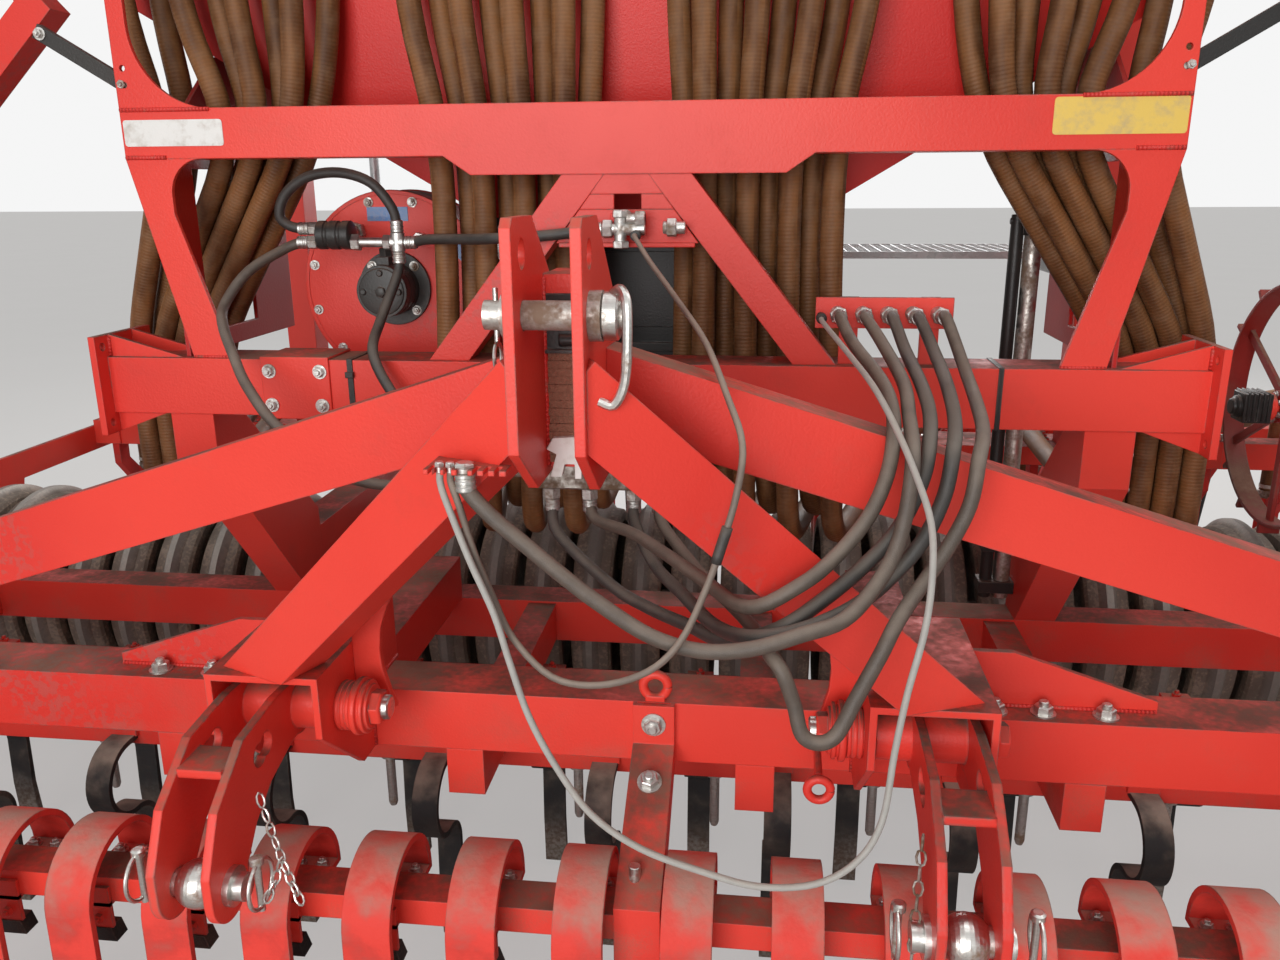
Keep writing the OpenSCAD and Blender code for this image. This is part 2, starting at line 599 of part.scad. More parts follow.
module rear_arms() color(paint) place() both() for (x = [720, 1595]) {
    box([x, front_rail + 80, 570], [x + 60, rear_rail, 620]);
    plate_yz(x, 60) polygon([[rear_rail + 70, 570], [rear_rail + 70, 630], [harrow_y, 458],
        [harrow_y, 422]]);
}
module harrow_bar() box([-beam_half, harrow_y, 420], [beam_half, harrow_y + 40, 460]);
module harrow() color(black) place() harrow_bar();
module harrow_tines() color(black) place() difference() {
    for (k = [0 : rows - 1]) rod([(k - (rows - 1) / 2) * row_pitch, harrow_y + 22, 440],
        [(k - (rows - 1) / 2) * row_pitch, reach_rear - 10, 15], 6);
    harrow_bar();
}

/* loading platform */
module platform() color(galv) place() box([-1090, 2010, 1180], [1090, 2410, 1200]);
module platform_arms() color(galv) place() both() box([1030, 1780, 1140], [1090, 2410, 1180]);
module handrail() color(galv) place() both() {
    for (x = [380, 1070]) translate([x, 2390, 1200]) cylinder(h = 900, r = 16);
    for (z = [1640, 2080]) rod_x(396, 1054, 2390, z, 16);
}
module steps() color(galv) place() {
    for (x = [-320, 300]) plate_yz(x, 20) polygon([[2410, 1120], [2410, 1200], [2450, 1200], [2542, 780],
        [2496, 780], [2430, 1120]]);
    for (z = [810, 935, 1060]) let (back = (1060 - z) * 0.22)
        box([-305, 2440 + back, z], [305, 2480 + back, z + 20]);
}

/* track markers */
module marker_posts() color(paint) place() both() {
    box([marker_x - 30, marker_y - 40, beam_z], [marker_x + 30, marker_y + 40, 790]);
    for (y = [marker_y - 44, marker_y + 32]) difference() {
        plate_xz(y, 12) union() {
            translate([marker_x - 45, 770]) square([90, 90]);
            circle_at(marker_x, marker_z, 45);
        }
        rod_y(marker_x, y - 5, y + 20, marker_z, 15 + pin_gap);
    }
    rod_y(marker_x, marker_y - 54, marker_y + 56, marker_z, 15);
    rod_y(marker_x, marker_y - 54, marker_y - 44, marker_z, 24);
}
module marker_arm() translate([marker_x, marker_y, marker_z]) rotate([0, marker_fold, 0]) difference() {
    union() {
        box([-marker_len, -27, -27], [0, 27, 27]);
        rod_y(0, -27, 27, 0, 38);
        box([-marker_len, -20, 27], [-marker_len + 40, 20, 330]);
        rod_x(-marker_len - 60, -marker_len, 0, 310, 15);
    }
    rod_y(0, -40, 40, 0, 15 + pin_gap);
}
module marker_arm_right() color(paint) place() marker_arm();
module marker_arm_left() color(paint) place() mirror([1, 0, 0]) marker_arm();
module marker_disc() translate([marker_x, marker_y, marker_z]) rotate([0, marker_fold, 0]) difference() {
    union() {
        rod_x(-marker_len - 40, -marker_len - 34, 0, 310, 180);
        rod_x(-marker_len - 52, -marker_len - 22, 0, 310, 35);
    }
    rod_x(-marker_len - 70, -marker_len, 0, 310, 15 + pin_gap);
}
module marker_disc_right() color(steel) place() marker_disc();
module marker_disc_left() color(steel) place() mirror([1, 0, 0]) marker_disc();
module marker_locks() color(black) place() both()
    bar([832, 655, 1548], [985, 655, 1640], 14, 24);

/* land wheel */
module land_wheel() color(black) place() translate([wheel_x, wheel_y, wheel_z]) rotate([0, 90, 0])
    difference() {
        union() {
            rotate_extrude() polygon([[wheel_r - 12, -25], [wheel_r - 4, -25], [wheel_r - 4, 25],
                [wheel_r - 12, 25]]);
            translate([0, 0, -30]) cylinder(h = 60, r = 38);
            for (a = [0 : 60 : 300]) rotate([0, 0, a]) translate([30, -10, -5]) cube([wheel_r - 40, 20, 10]);
            for (a = [0 : 24 : 336]) rotate([0, 0, a]) translate([wheel_r - 6, -5, -24]) cube([26, 10, 48]);
        }
        translate([0, 0, -40]) cylinder(h = 80, r = 20 + pin_gap);
    }
module wheel_bracket() color(paint) place() {
    rod_x(wheel_x - 50, side_x, wheel_y, wheel_z, 20);
    rod_x(wheel_x + 40, side_x, wheel_y, wheel_z, 28);
    rod_x(wheel_x - 50, wheel_x - 38, wheel_y, wheel_z, 32);
    plate_yz(side_x, 12) polygon([[wheel_y - 70, end_top], [wheel_y + 70, end_top], [wheel_y + 40, 930],
        [wheel_y - 40, 930]]);
}

module hose_supports() color(paint) place() {
    for (x = [350, 480]) box([x, 660, lower_top], [x + 30, 668, 1210]);
    box([310, 652, 1160], [530, 660, 1210]);
    box([-tank_half, tank_y + cut_plate, 2010], [tank_half, 668, 2050]);
    for (x = [-450, 0, 450]) box([x - 20, 668, 2015], [x + 20, tank_front, 2045]);
}

// hydraulic parts that the hoses end in
function stay_under(y) = 1090 - (y - 210) * 85 / 420;
module fan_valve() {
    box([-590, 735, 1280], [-500, 790, 1330]);
    box([-565, 790, 1290], [-535, 880, 1320]);
    box([-440, 735, 1275], [-410, 770, 1310]);
    box([-432, 770, 1285], [-418, 880, 1300]);
}
module manifold() {
    box([-120, 455, manifold_z], [90, 500, manifold_z + 60]);
    plate_yz(-15, 30) polygon([[465, manifold_z + 60], [495, manifold_z + 60], [495, stay_under(495)],
        [465, stay_under(465)]]);
    for (z = [950, 978]) rod_x(-190, -120, 485, z, 11);
}
module line_fitting() {
    box([-30, 632, 1330], [30, 640, 1420]);
    box([-35, 600, 1290], [35, 632, 1350]);
}
// slotted plate on the left short brace, its rear edge along the brace's front face
module brace_holder() {
    translate([0, 0, brace_holder_z]) linear_extrude(6)
        polygon([[-135, -36], [-75, -36], [-75, -3.5], [-135, 22.4]]);
    for (p = [[-92, 10], [-108, 5], [-120, 5]])
        translate([p[0], -24, brace_holder_z + 6]) cylinder(h = 26, r = p[1]);
}
module hydraulic_fittings() color(galv) place() {
    fan_valve();
    manifold();
    line_fitting();
    brace_holder();
    for (x = [345 : 40 : 505]) rod_y(x, holder_y, 652, 1185, 12);
    rod_y(318, holder_y, 652, 1180, 6);
}

// a plain round tube along a way, its rings at the way's own points
module tube(p, r) {
    n = 8;
    t = heading(p, 0);
    side = across(p, 0, abs(t[2]) < 0.8 ? [0, 0, 1] : [1, 0, 0]);
    last = (len(p) - 1) * n;
    polyhedron([for (i = [0 : len(p) - 1], k = [0 : n - 1])
            p[i] + r * (cos(360 * k / n) * side[i] + sin(360 * k / n) * cross(heading(p, i), side[i]))],
        concat([[for (k = [0 : n - 1]) k], [for (k = [n - 1 : -1 : 0]) last + k]],
            [for (i = [0 : n : last - n], k = [0 : n - 1]) [i + k, i + n + (k + 1) % n, i + (k + 1) % n]],
            [for (i = [0 : n : last - n], k = [0 : n - 1]) [i + k, i + n + k, i + n + (k + 1) % n]]));
}
module hydraulic_hoses() color(black) place() for (way = [pressure_hose, brace_hose, return_hose, drain_hose,
    marker_hose, fan_hose_upper, fan_hose_outer, fan_hose_inner, fan_hose_cross]) tube(way, hydraulic_r);
module signal_cables() color(black) place() for (way = [grey_cable, thin_cable]) tube(way, cable_r);
module seed_hoses(first) for (m = [0 : rows / 2 - 1])
    tube(rounded(seed_way(m, m % 2 == first), 110), hose_r);
module seed_hoses_right() color(worn) place() seed_hoses(0);
module seed_hoses_left() color(worn) place() mirror([1, 0, 0]) seed_hoses(1);

front_beam();
hitch_brackets();
hitch_pivots();
hitch_arm_left();
hitch_arm_right();
hitch_pin_left();
hitch_pin_right();
mast();
top_link_pin();
hitch_braces();
frame_rails();
tine_frame();
tine_beams();
spring_tines();
levelling_beam();
levelling_paddles();
levelling_arms();
packer_beam();
packer_end_plates();
packer_roller();
rear_cross_beam();
tank_upper_beam();
tank_side_plates();
tank_side_panels();
tank_cross_tube();
tank_struts();
tank_pillars();
hopper();
lid_hinge_rod();
hopper_lid();
riser();
distributor_head();
meter_housing();
fan_housing();
fan_rotor();
fan_motor();
coulter_rails();
coulters_front();
coulters_rear();
rear_arms();
harrow();
harrow_tines();
platform();
platform_arms();
handrail();
steps();
marker_posts();
marker_locks();
marker_arm_left();
marker_arm_right();
marker_disc_left();
marker_disc_right();
land_wheel();
wheel_bracket();
hose_supports();
hydraulic_fittings();
hydraulic_hoses();
signal_cables();
seed_hoses_left();
seed_hoses_right();
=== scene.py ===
import math

import bmesh
import bpy
from mathutils import Matrix, Vector


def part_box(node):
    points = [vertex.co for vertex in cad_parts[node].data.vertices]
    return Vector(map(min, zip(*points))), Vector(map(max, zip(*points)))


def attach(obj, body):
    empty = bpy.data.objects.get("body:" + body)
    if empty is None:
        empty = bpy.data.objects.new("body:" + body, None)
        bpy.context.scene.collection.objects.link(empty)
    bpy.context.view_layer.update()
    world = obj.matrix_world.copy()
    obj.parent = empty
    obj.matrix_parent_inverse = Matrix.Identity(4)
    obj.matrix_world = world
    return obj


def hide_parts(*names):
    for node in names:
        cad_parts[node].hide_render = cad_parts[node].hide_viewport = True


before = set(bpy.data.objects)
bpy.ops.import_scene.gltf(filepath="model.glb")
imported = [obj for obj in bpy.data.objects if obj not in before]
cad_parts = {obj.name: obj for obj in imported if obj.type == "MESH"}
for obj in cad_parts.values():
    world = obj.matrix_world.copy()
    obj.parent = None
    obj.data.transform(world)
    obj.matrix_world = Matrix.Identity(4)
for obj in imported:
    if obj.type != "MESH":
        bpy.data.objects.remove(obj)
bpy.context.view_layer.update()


# Camera: the photograph was taken by hand from the tractor's side, a little to the right of the mast
# and looking down over it. Places are in millimetres, x from the machine's middle, y from the lower
# hitch pins and z from the ground, and MM makes them metres.
MM = 0.001
pin_low, pin_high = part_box("hitch_pin_right")
PINS_Y = (pin_low.y + pin_high.y) / 2


def spot(x, y, z):
    return Vector((x * MM, y * MM + PINS_Y, z * MM))


camera = bpy.data.objects.new("camera", bpy.data.cameras.new("camera"))
bpy.context.scene.collection.objects.link(camera)
turned_left, looking_down, tilted = math.radians(6.75), math.radians(15.99), math.radians(0.38)
picture_width, focal_pixels = 1280, 1030
camera.data.sensor_width = 36
camera.data.lens = focal_pixels / picture_width * camera.data.sensor_width
camera.matrix_world = (Matrix.Translation(spot(222, -1067, 1388))
    @ Matrix.Rotation(turned_left, 4, "Z") @ Matrix.Rotation(math.pi / 2 - looking_down, 4, "X")
    @ Matrix.Rotation(-tilted, 4, "Z"))
bpy.context.scene.camera = camera


# Hydraulic hoses: black rubber over steel braid, 18 mm thick and dull with dust. They are made as
# tubes along the routes of the part's source, and each end is crimped in a steel ferrule.
class Value:
    """A number or a colour inside a finish. Sums on it add the nodes that work them out."""

    def __init__(self, finish, socket):
        self.finish, self.socket = finish, socket

    def worked(self, operation, first, second=0.0):
        return self.finish.node("ShaderNodeMath", {"operation": operation}, {0: first, 1: second})

    def __add__(self, other):
        return self.worked("ADD", self, other)

    def __sub__(self, other):
        return self.worked("SUBTRACT", self, other)

    def __rsub__(self, other):
        return self.worked("SUBTRACT", other, self)

    def __mul__(self, other):
        return self.worked("MULTIPLY", self, other)

    def __pow__(self, other):
        return self.worked("POWER", self, other)

    __radd__ = __add__
    __rmul__ = __mul__


class Finish:
    """A material on one Principled shader. Its fixed numbers are set on the shader's own sockets."""

    def __init__(self, name, **fixed):
        self.material = bpy.data.materials.new(name)
        self.material.use_nodes = True
        self.tree = self.material.node_tree
        self.shader = self.tree.nodes["Principled BSDF"]
        for socket, value in fixed.items():
            self.shader.inputs[socket.replace("_", " ")].default_value = value
        self.place = self.node("ShaderNodeTexCoord", {}, {}, "Object")

    def node(self, kind, settings, sockets, output=0):
        made = self.tree.nodes.new(kind)
        for name, value in settings.items():
            setattr(made, name, value)
        for socket, value in sockets.items():
            if isinstance(value, Value):
                self.tree.links.new(value.socket, made.inputs[socket])
            else:
                made.inputs[socket].default_value = value
        return Value(self, made.outputs[output])

    def noise(self, scale, detail=3.0, stretch=(1, 1, 1)):
        place = self.node("ShaderNodeMapping", {}, {"Vector": self.place, "Scale": stretch})
        return self.node("ShaderNodeTexNoise", {}, {"Vector": place, "Scale": scale, "Detail": detail}, "Fac")

    def between(self, value, low, high):
        """0 below low, 1 above high, and smooth between them"""
        return self.node("ShaderNodeMapRange", {"interpolation_type": "SMOOTHSTEP"},
            {"Value": value, "From Min": low, "From Max": high})

    def mixed(self, share, first, second):
        return self.node("ShaderNodeMix", {"data_type": "RGBA"}, {0: share, 6: first, 7: second}, 2)

    def larger(self, first, second):
        return self.node("ShaderNodeMath", {"operation": "MAXIMUM"}, {0: first, 1: second})

    def part_of(self, vector, axis):
        return self.node("ShaderNodeSeparateXYZ", {}, {"Vector": vector}, axis)

    def facing_up(self):
        return self.part_of(self.node("ShaderNodeTexCoord", {}, {}, "Normal"), "Z")

    def edges(self, radius):
        """1 on the sharp outer edges, 0 on the flats, from how far a rounded surface would lean"""
        rounded = self.node("ShaderNodeBevel", {"samples": 4}, {"Radius": radius})
        plain = self.node("ShaderNodeNewGeometry", {}, {}, "Normal")
        lean = self.node("ShaderNodeVectorMath", {"operation": "DOT_PRODUCT"},
            {0: rounded, 1: plain}, "Value")
        return self.between(1 - lean, 0.02, 0.22)

    def set(self, **varying):
        for socket, value in varying.items():
            self.tree.links.new(value.socket, self.shader.inputs[socket.replace("_", " ")])

    def bump(self, height, distance, strength=1.0, under=None):
        sockets = {"Height": height, "Distance": distance, "Strength": strength}
        if under:
            sockets["Normal"] = under
        self.set(Normal=self.node("ShaderNodeBump", {}, sockets))


SOIL = (0.235, 0.165, 0.115, 1)
PALE_DUST = (0.42, 0.33, 0.26, 1)


def rubber(name, black, dusted, share):
    finish = Finish(name, Roughness=0.6)
    dust = finish.between(finish.facing_up() * 0.5 + finish.noise(14) * 0.9, 0.45, 1.0) * share
    finish.set(Base_Color=finish.mixed(dust, finish.mixed(finish.noise(60), black, dusted), PALE_DUST),
        Roughness=0.5 + dust * 0.35)
    finish.bump(finish.noise(700), 0.0006)
    return finish.material


def smooth_way(points, steps):
    """points on a smooth curve through the route's points, steps of them to each stretch"""
    p = [2 * points[0] - points[1], *points, 2 * points[-1] - points[-2]]
    way = []
    for i in range(1, len(p) - 2):
        for j in range(steps):
            t = j / steps
            way.append(0.5 * (2 * p[i] + (p[i + 1] - p[i - 1]) * t
                + (2 * p[i - 1] - 5 * p[i] + 4 * p[i + 1] - p[i + 2]) * t ** 2
                + (3 * p[i] - p[i - 1] - 3 * p[i + 1] + p[i + 2]) * t ** 3))
    return [*way, points[-1]]


def sweep(way, radius, sides=12):
    """a closed tube along a way: its corners, its faces and how far along the way each ring is"""
    corners, faces, along = [], [], [0.0]
    across = Vector((0, 0, 1)) if abs((way[1] - way[0]).normalized().z) < 0.8 else Vector((1, 0, 0))
    for i, point in enumerate(way):
        ahead = (way[min(i + 1, len(way) - 1)] - way[max(i - 1, 0)]).normalized()
        across = (across - ahead * across.dot(ahead)).normalized()
        side = ahead.cross(across)
        if i:
            along.append(along[-1] + (point - way[i - 1]).length)
        for k in range(sides):
            turn = 2 * math.pi * k / sides
            corners.append(point + radius * (math.cos(turn) * across + math.sin(turn) * side))
    for i in range(len(way) - 1):
        for k in range(sides):
            a, b = i * sides + k, i * sides + (k + 1) % sides
            faces.append((a, b, b + sides, a + sides))
    faces += [tuple(range(sides - 1, -1, -1)), tuple(range(len(corners) - sides, len(corners)))]
    return corners, faces, along


def tube_piece(name, ways, radius, finish, sides=12):
    """tubes in one mesh, with a UV map that runs once round and in metres along"""
    corners, faces, around = [], [], []
    for way in ways:
        more, those, along = sweep(way, radius * MM, sides)
        first = len(corners)
        corners += more
        for i, face in enumerate(those):
            faces.append([first + c for c in face])
            ring, k = divmod(i, sides)
            if len(face) == 4:
                around += [(k / sides, along[ring]), ((k + 1) / sides, along[ring]),
                    ((k + 1) / sides, along[ring + 1]), (k / sides, along[ring + 1])]
            else:
                around += [(0.5, along[0] if face[0] < sides else along[-1])] * sides
    mesh = bpy.data.meshes.new(name)
    mesh.from_pydata([tuple(c) for c in corners], [], faces)
    mesh.uv_layers.new(name="along").data.foreach_set("uv", [n for uv in around for n in uv])
    mesh.polygons.foreach_set("use_smooth", [len(f) == 4 for f in faces])
    mesh.materials.append(finish)
    piece = bpy.data.objects.new(name, mesh)
    bpy.context.scene.collection.objects.link(piece)
    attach(piece, "frame")
    return piece


def hand_route(*places):
    return [spot(*place) for place in places]


hydraulic_radius = 9
hose_routes = {
    "pressure_hose": hand_route((345, 612, 1185), (345, 560, 1185), (355, 450, 1165), (380, 300, 1140),
        (385, 200, 1120), (380, 140, 1090), (370, 110, 1055), (350, 90, 1015), (315, 70, 975), (275, 40, 950),
        (215, 50, 915), (155, 160, 905), (100, 260, 900), (40, 360, 895), (-25, 445, 885), (-40, 470, 905),
        (-40, 470, 930)),
    "brace_hose": hand_route((385, 612, 1185), (385, 560, 1185), (400, 450, 1160), (410, 300, 1135),
        (405, 200, 1115), (400, 112, 1085), (393, 84, 1030), (380, 70, 980), (355, 43, 945), (320, 0, 925),
        (275, -20, 915), (220, -30, 900), (165, -30, 895), (110, -30, 910), (55, -30, 945), (10, -30, 980),
        (-25, -30, 1010), (-62, -30, 1042), (-88, -25, 1068), (-92, -24, 1080), (-92, -24, 1090)),
    "return_hose": hand_route((425, 612, 1185), (425, 560, 1185), (430, 450, 1155), (432, 300, 1135),
        (430, 200, 1115), (422, 140, 1085), (412, 118, 1050), (388, 104, 1000), (350, 85, 960),
        (302, 52, 928), (250, 30, 898), (190, 95, 850), (140, 180, 830), (75, 270, 815), (10, 350, 815),
        (-85, 440, 860), (-100, 470, 900), (-100, 470, 930)),
    "drain_hose": hand_route((465, 612, 1185), (465, 560, 1185), (470, 450, 1155), (465, 300, 1135),
        (460, 200, 1110), (450, 140, 1085), (440, 120, 1035), (415, 100, 985), (380, 85, 945),
        (335, 50, 920), (275, 8, 908), (220, 12, 895), (175, 100, 868), (125, 220, 860), (75, 350, 850),
        (35, 445, 880), (30, 470, 905), (30, 470, 930)),
    "marker_hose": hand_route((505, 612, 1185), (505, 560, 1185), (515, 450, 1130), (505, 300, 1110),
        (495, 200, 1095), (480, 140, 1075), (470, 120, 1025), (445, 105, 975), (415, 85, 935), (385, 40, 910),
        (365, 20, 875), (340, 10, 825), (320, 0, 785), (300, -5, 775), (280, -5, 785), (270, 0, 820),
        (255, 0, 860), (242, 20, 870), (238, 80, 856), (205, 180, 850), (145, 320, 850), (80, 440, 880),
        (70, 470, 905), (70, 470, 930)),
    "fan_hose_upper": hand_route((-590, 760, 1316), (-605, 760, 1316), (-628, 756, 1322), (-640, 750, 1340),
        (-625, 748, 1375), (-580, 745, 1405), (-520, 745, 1412), (-465, 745, 1395), (-432, 748, 1355),
        (-425, 752, 1325), (-425, 752, 1310)),
    "fan_hose_outer": hand_route((-590, 752, 1292), (-605, 752, 1292), (-635, 740, 1280), (-680, 690, 1245),
        (-705, 645, 1195), (-690, 600, 1165), (-655, 560, 1115), (-615, 520, 1070), (-550, 485, 1010),
        (-450, 485, 935), (-340, 485, 920), (-255, 485, 942), (-210, 485, 950), (-190, 485, 950)),
    "fan_hose_inner": hand_route((-425, 752, 1275), (-425, 752, 1260), (-428, 742, 1232), (-445, 690, 1160),
        (-432, 610, 1118), (-398, 585, 1060), (-345, 560, 1010), (-285, 520, 985), (-240, 494, 978),
        (-205, 485, 978), (-190, 485, 978)),
    "fan_hose_cross": hand_route((-410, 752, 1292), (-396, 752, 1292), (-375, 742, 1297), (-330, 710, 1300),
        (-260, 660, 1302), (-210, 628, 1305), (-150, 622, 1308), (-90, 620, 1314), (-60, 616, 1320),
        (-35, 616, 1320)),
}
black_hose = rubber("black_hose_rubber", (0.020, 0.018, 0.017, 1), (0.045, 0.038, 0.033, 1), 0.22)
brown_hose = rubber("dusty_hose_rubber", (0.050, 0.038, 0.030, 1), (0.115, 0.085, 0.066, 1), 0.30)
dark_hoses = ("return_hose", "drain_hose", "fan_hose_upper", "fan_hose_cross", "fan_hose_inner")


def declare(way, node):
    length = sum((b - a).length for a, b in zip(way, way[1:]))
    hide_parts(node)


for name, route in hose_routes.items():
    way = smooth_way(route, 5)
    hose = tube_piece(name, [way], hydraulic_radius, black_hose if name in dark_hoses else brown_hose)
    declare(way, "hydraulic_hoses")


# Signal cables: the grey one hangs in a low loop in front of the beam and its plug is parked beside
# the hoses, the thin brown one comes down from the fittings behind the mast and has a taped splice.
cable_radius, tape_radius = 4, 6.2
cable_routes = {
    "grey_cable": hand_route((-120, -24, 1090), (-120, -24, 1078), (-113, -29, 1058), (-88, -38, 995),
        (-62, -44, 935), (-45, -50, 880), (-25, -52, 815), (5, -55, 755), (45, -60, 700), (100, -60, 660),
        (170, -60, 635), (235, -60, 620), (300, -55, 625), (345, -50, 655), (370, -45, 705), (380, -35, 785),
        (390, -30, 855), (405, -20, 925), (412, 0, 980), (412, 30, 1030), (398, 75, 1075), (380, 140, 1116),
        (362, 220, 1146), (345, 360, 1160), (318, 560, 1180), (318, 612, 1180)),
    "thin_cable": hand_route((20, 600, 1310), (20, 585, 1310), (30, 560, 1300), (55, 500, 1275),
        (110, 340, 1235), (155, 200, 1200), (185, 100, 1155), (205, 30, 1115), (200, 0, 1065),
        (185, -10, 1010), (170, -20, 965), (145, -48, 915), (110, -55, 880), (55, -50, 858), (0, -40, 860),
        (-45, -30, 900), (-68, -26, 950), (-86, -26, 1000), (-100, -27, 1055), (-108, -24, 1078),
        (-108, -24, 1090)),
}
cable_finishes = {
    "grey_cable": rubber("grey_cable_skin", (0.30, 0.29, 0.27, 1), (0.42, 0.40, 0.37, 1), 0.4),
    "thin_cable": rubber("brown_cable_skin", (0.11, 0.085, 0.07, 1), (0.20, 0.15, 0.12, 1), 0.5),
}
for name, route in cable_routes.items():
    way = smooth_way(route, 5)
    piece = tube_piece(name, [way], cable_radius, cable_finishes[name])
    taped = []
    if name == "thin_cable":
        taped = [tube_piece("cable_splice", [way[43:48]], tape_radius, black_hose)]
    declare(way, "signal_cables")


# Seed hoses: 32 ribbed plastic hoses from the distributor head to the coulters, brown with field
# dust. They hang in flat ribbons before the hopper, the inner ones pass between the pillars and the
# outer ones beside them.
seed_hose_radius = 20.5
row_pitch, rows = 125, 32
head_y, lower_tier, upper_tier, spout_pitch = 1180, 2335, 2400, 12.5
front_boot_y, rear_boot_y, boot_z = 2245, 2495, 450
inner_hoses = 8
post_pass = (900, 945, 1140, 1180, 1220, 1260, 1300, 1340)


def seed_way(m, side):
    """the way of hose m, counted from the middle, with side 1 for the right and -1 for the left"""
    turn, k = math.radians(spout_pitch * (m // 2 + 0.5)), m - inner_hoses
    ahead = m % 2 == (0 if side > 0 else 1)
    tier, y, low = (upper_tier, 755, 745) if m % 2 else (lower_tier, 795, 785)
    row, boot = (m + 0.5) * row_pitch, front_boot_y if ahead else rear_boot_y
    top = 70 + 45 * m if m < inner_hoses else 530 + 52 * k
    way = [(r * math.sin(turn), head_y - r * math.cos(turn), tier) for r in (210, 300)]
    way += [(top, y, tier - 30), (top, y, 1690)]
    if m < inner_hoses:
        inner = 85 + 36 * m
        way += [(inner, y, 1475), (inner, y, 1250), (80 + 40 * m, y, low), (90 + 75 * m, 1700, low)]
    else:
        outer = 858 + 22 * k
        way += [(575 + 27 * k + (75 if k > 5 else 0), y, 1480), (outer, y + 95, 1085), (outer, y + 95, low),
            (post_pass[k], 1700, low), (0.8 * post_pass[k] + 0.2 * row, 1840, low)]
    way += [(row, 2150, low)] if ahead else [(row, 2200, low), (row, 2410, low - 25)]
    way += [(row, boot, low - 60), (row, boot, boot_z)]
    return [spot(side * x, y, z) for x, y, z in way]


def rounded(points, reach, steps):
    """the same way with its corners rounded off, as far as reach along either leg at the most"""
    shares = [j / steps for j in range(steps + 1)]
    way = [points[0]]
    for a, b, c in zip(points, points[1:], points[2:]):
        leg = min(reach * MM, 0.48 * (a - b).length, 0.48 * (c - b).length)
        first, last = b + leg * (a - b).normalized(), b + leg * (c - b).normalized()
        way += [(1 - t) ** 2 * first + 2 * t * (1 - t) * b + t * t * last for t in shares]
    return [*way, points[-1]]


def ribbed_plastic():
    finish = Finish("ribbed_hose_plastic", Specular_IOR_Level=0.3)
    unrolled = finish.node("ShaderNodeUVMap", {"uv_map": "along"}, {})
    rib_pitch = 0.0065
    along = finish.part_of(unrolled, "Y")
    rib = finish.node("ShaderNodeMath", {"operation": "SINE"}, {0: along * (2 * math.pi / rib_pitch)})
    worn, cloud = finish.noise(40), finish.noise(5)
    drawn_out = finish.node("ShaderNodeMapping", {}, {"Vector": unrolled, "Scale": (4, 5, 1)})
    streak = finish.node("ShaderNodeTexNoise", {}, {"Vector": drawn_out, "Scale": 1.0, "Detail": 4.0}, "Fac")
    brown = finish.mixed(finish.between(streak + cloud * 0.6, 0.55, 1.05),
        (0.085, 0.032, 0.011, 1), (0.250, 0.104, 0.034, 1))
    dust = finish.between(worn + cloud * 0.6, 0.66, 1.2) * 0.5
    tone = finish.mixed(dust, brown, (0.235, 0.135, 0.075, 1))
    # The grooves between the ribs are darkened a little towards dark brown: painted shade in the hollows.
    rib_groove_shade = finish.between(rib, 0.1, -0.9) * 0.08
    finish.set(Base_Color=finish.mixed(rib_groove_shade, tone, (0.035, 0.018, 0.010, 1)), Roughness=0.55 + dust * 0.3)
    finish.bump(rib + worn * 0.3, 0.0004, 0.5)
    return finish.material


hose_plastic = ribbed_plastic()
for side, word in ((1, "right"), (-1, "left")):
    ways = [rounded(seed_way(m, side), 110, 5) for m in range(rows // 2)]
    bundle = tube_piece(f"ribbed_seed_hoses_{word}", ways, seed_hose_radius, hose_plastic)
    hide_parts(f"seed_hoses_{word}")


# Painted steel: the welded beams and plates are sprayed bright red and the hopper a deeper red. The
# tank's side panels carry a much darker copy of that red, which is painted shade for panels in shadow.
# The upward faces carry dry field dust, the edges are rubbed bare and the lower parts are splashed with
# soil.
def painted(name, colour, shade, dust_share, soil_height=0.75, edge=0.004, gloss=0.32):
    finish = Finish(name, Specular_IOR_Level=0.32, Coat_Roughness=0.25)
    up, height = finish.facing_up(), finish.part_of(finish.place, "Z")
    cloud, patch, grain, fine = finish.noise(1.6), finish.noise(11, 5), finish.noise(85), finish.noise(420)
    paint = finish.mixed(finish.between(cloud, 0.35, 0.75), colour, shade)
    runs = finish.noise(9, 3, (1, 1, 0.12))
    film = finish.between(patch + grain * 0.25, 0.66, 1.05) * 0.16 + finish.between(runs, 0.64, 0.80) * 0.05
    settled = finish.between(up, 0.45, 0.95) * finish.between(patch + grain * 0.5, 0.30, 0.95)
    splashed = finish.between(height, soil_height, 0.1) * finish.between(patch + fine * 0.35, 0.62, 1.0) * 0.8
    dust = finish.larger(settled * dust_share, film * dust_share)
    settled_dust = finish.mixed(finish.between(finish.noise(2.6), 0.46, 0.62),
        finish.mixed(grain, (0.052, 0.022, 0.016, 1), (0.135, 0.068, 0.045, 1)),
        finish.mixed(grain, (0.150, 0.075, 0.050, 1), (0.300, 0.180, 0.125, 1)))
    dusty = finish.mixed(dust, paint, settled_dust)
    soiled = finish.mixed(splashed * dust_share, dusty, SOIL)
    chips = finish.between(grain + patch * 0.35, 0.66, 0.74)
    rubbed = finish.edges(edge) * finish.between(patch + grain * 0.6, 0.72, 0.95)
    bare = rubbed + chips * finish.between(cloud, 0.62, 0.7) * 0.3
    finish.set(Base_Color=finish.mixed(bare * 0.8, soiled, (0.20, 0.15, 0.13, 1)),
        Roughness=gloss + dust * 0.5 + splashed * 0.4 + cloud * 0.1 + bare * 0.1)
    rounded_edges = finish.node("ShaderNodeBevel", {"samples": 4}, {"Radius": edge * 0.7})
    finish.bump(finish.noise(260, 2) + dust * 0.7 + splashed * 1.4, 0.0005, 0.7, rounded_edges)
    return finish.material


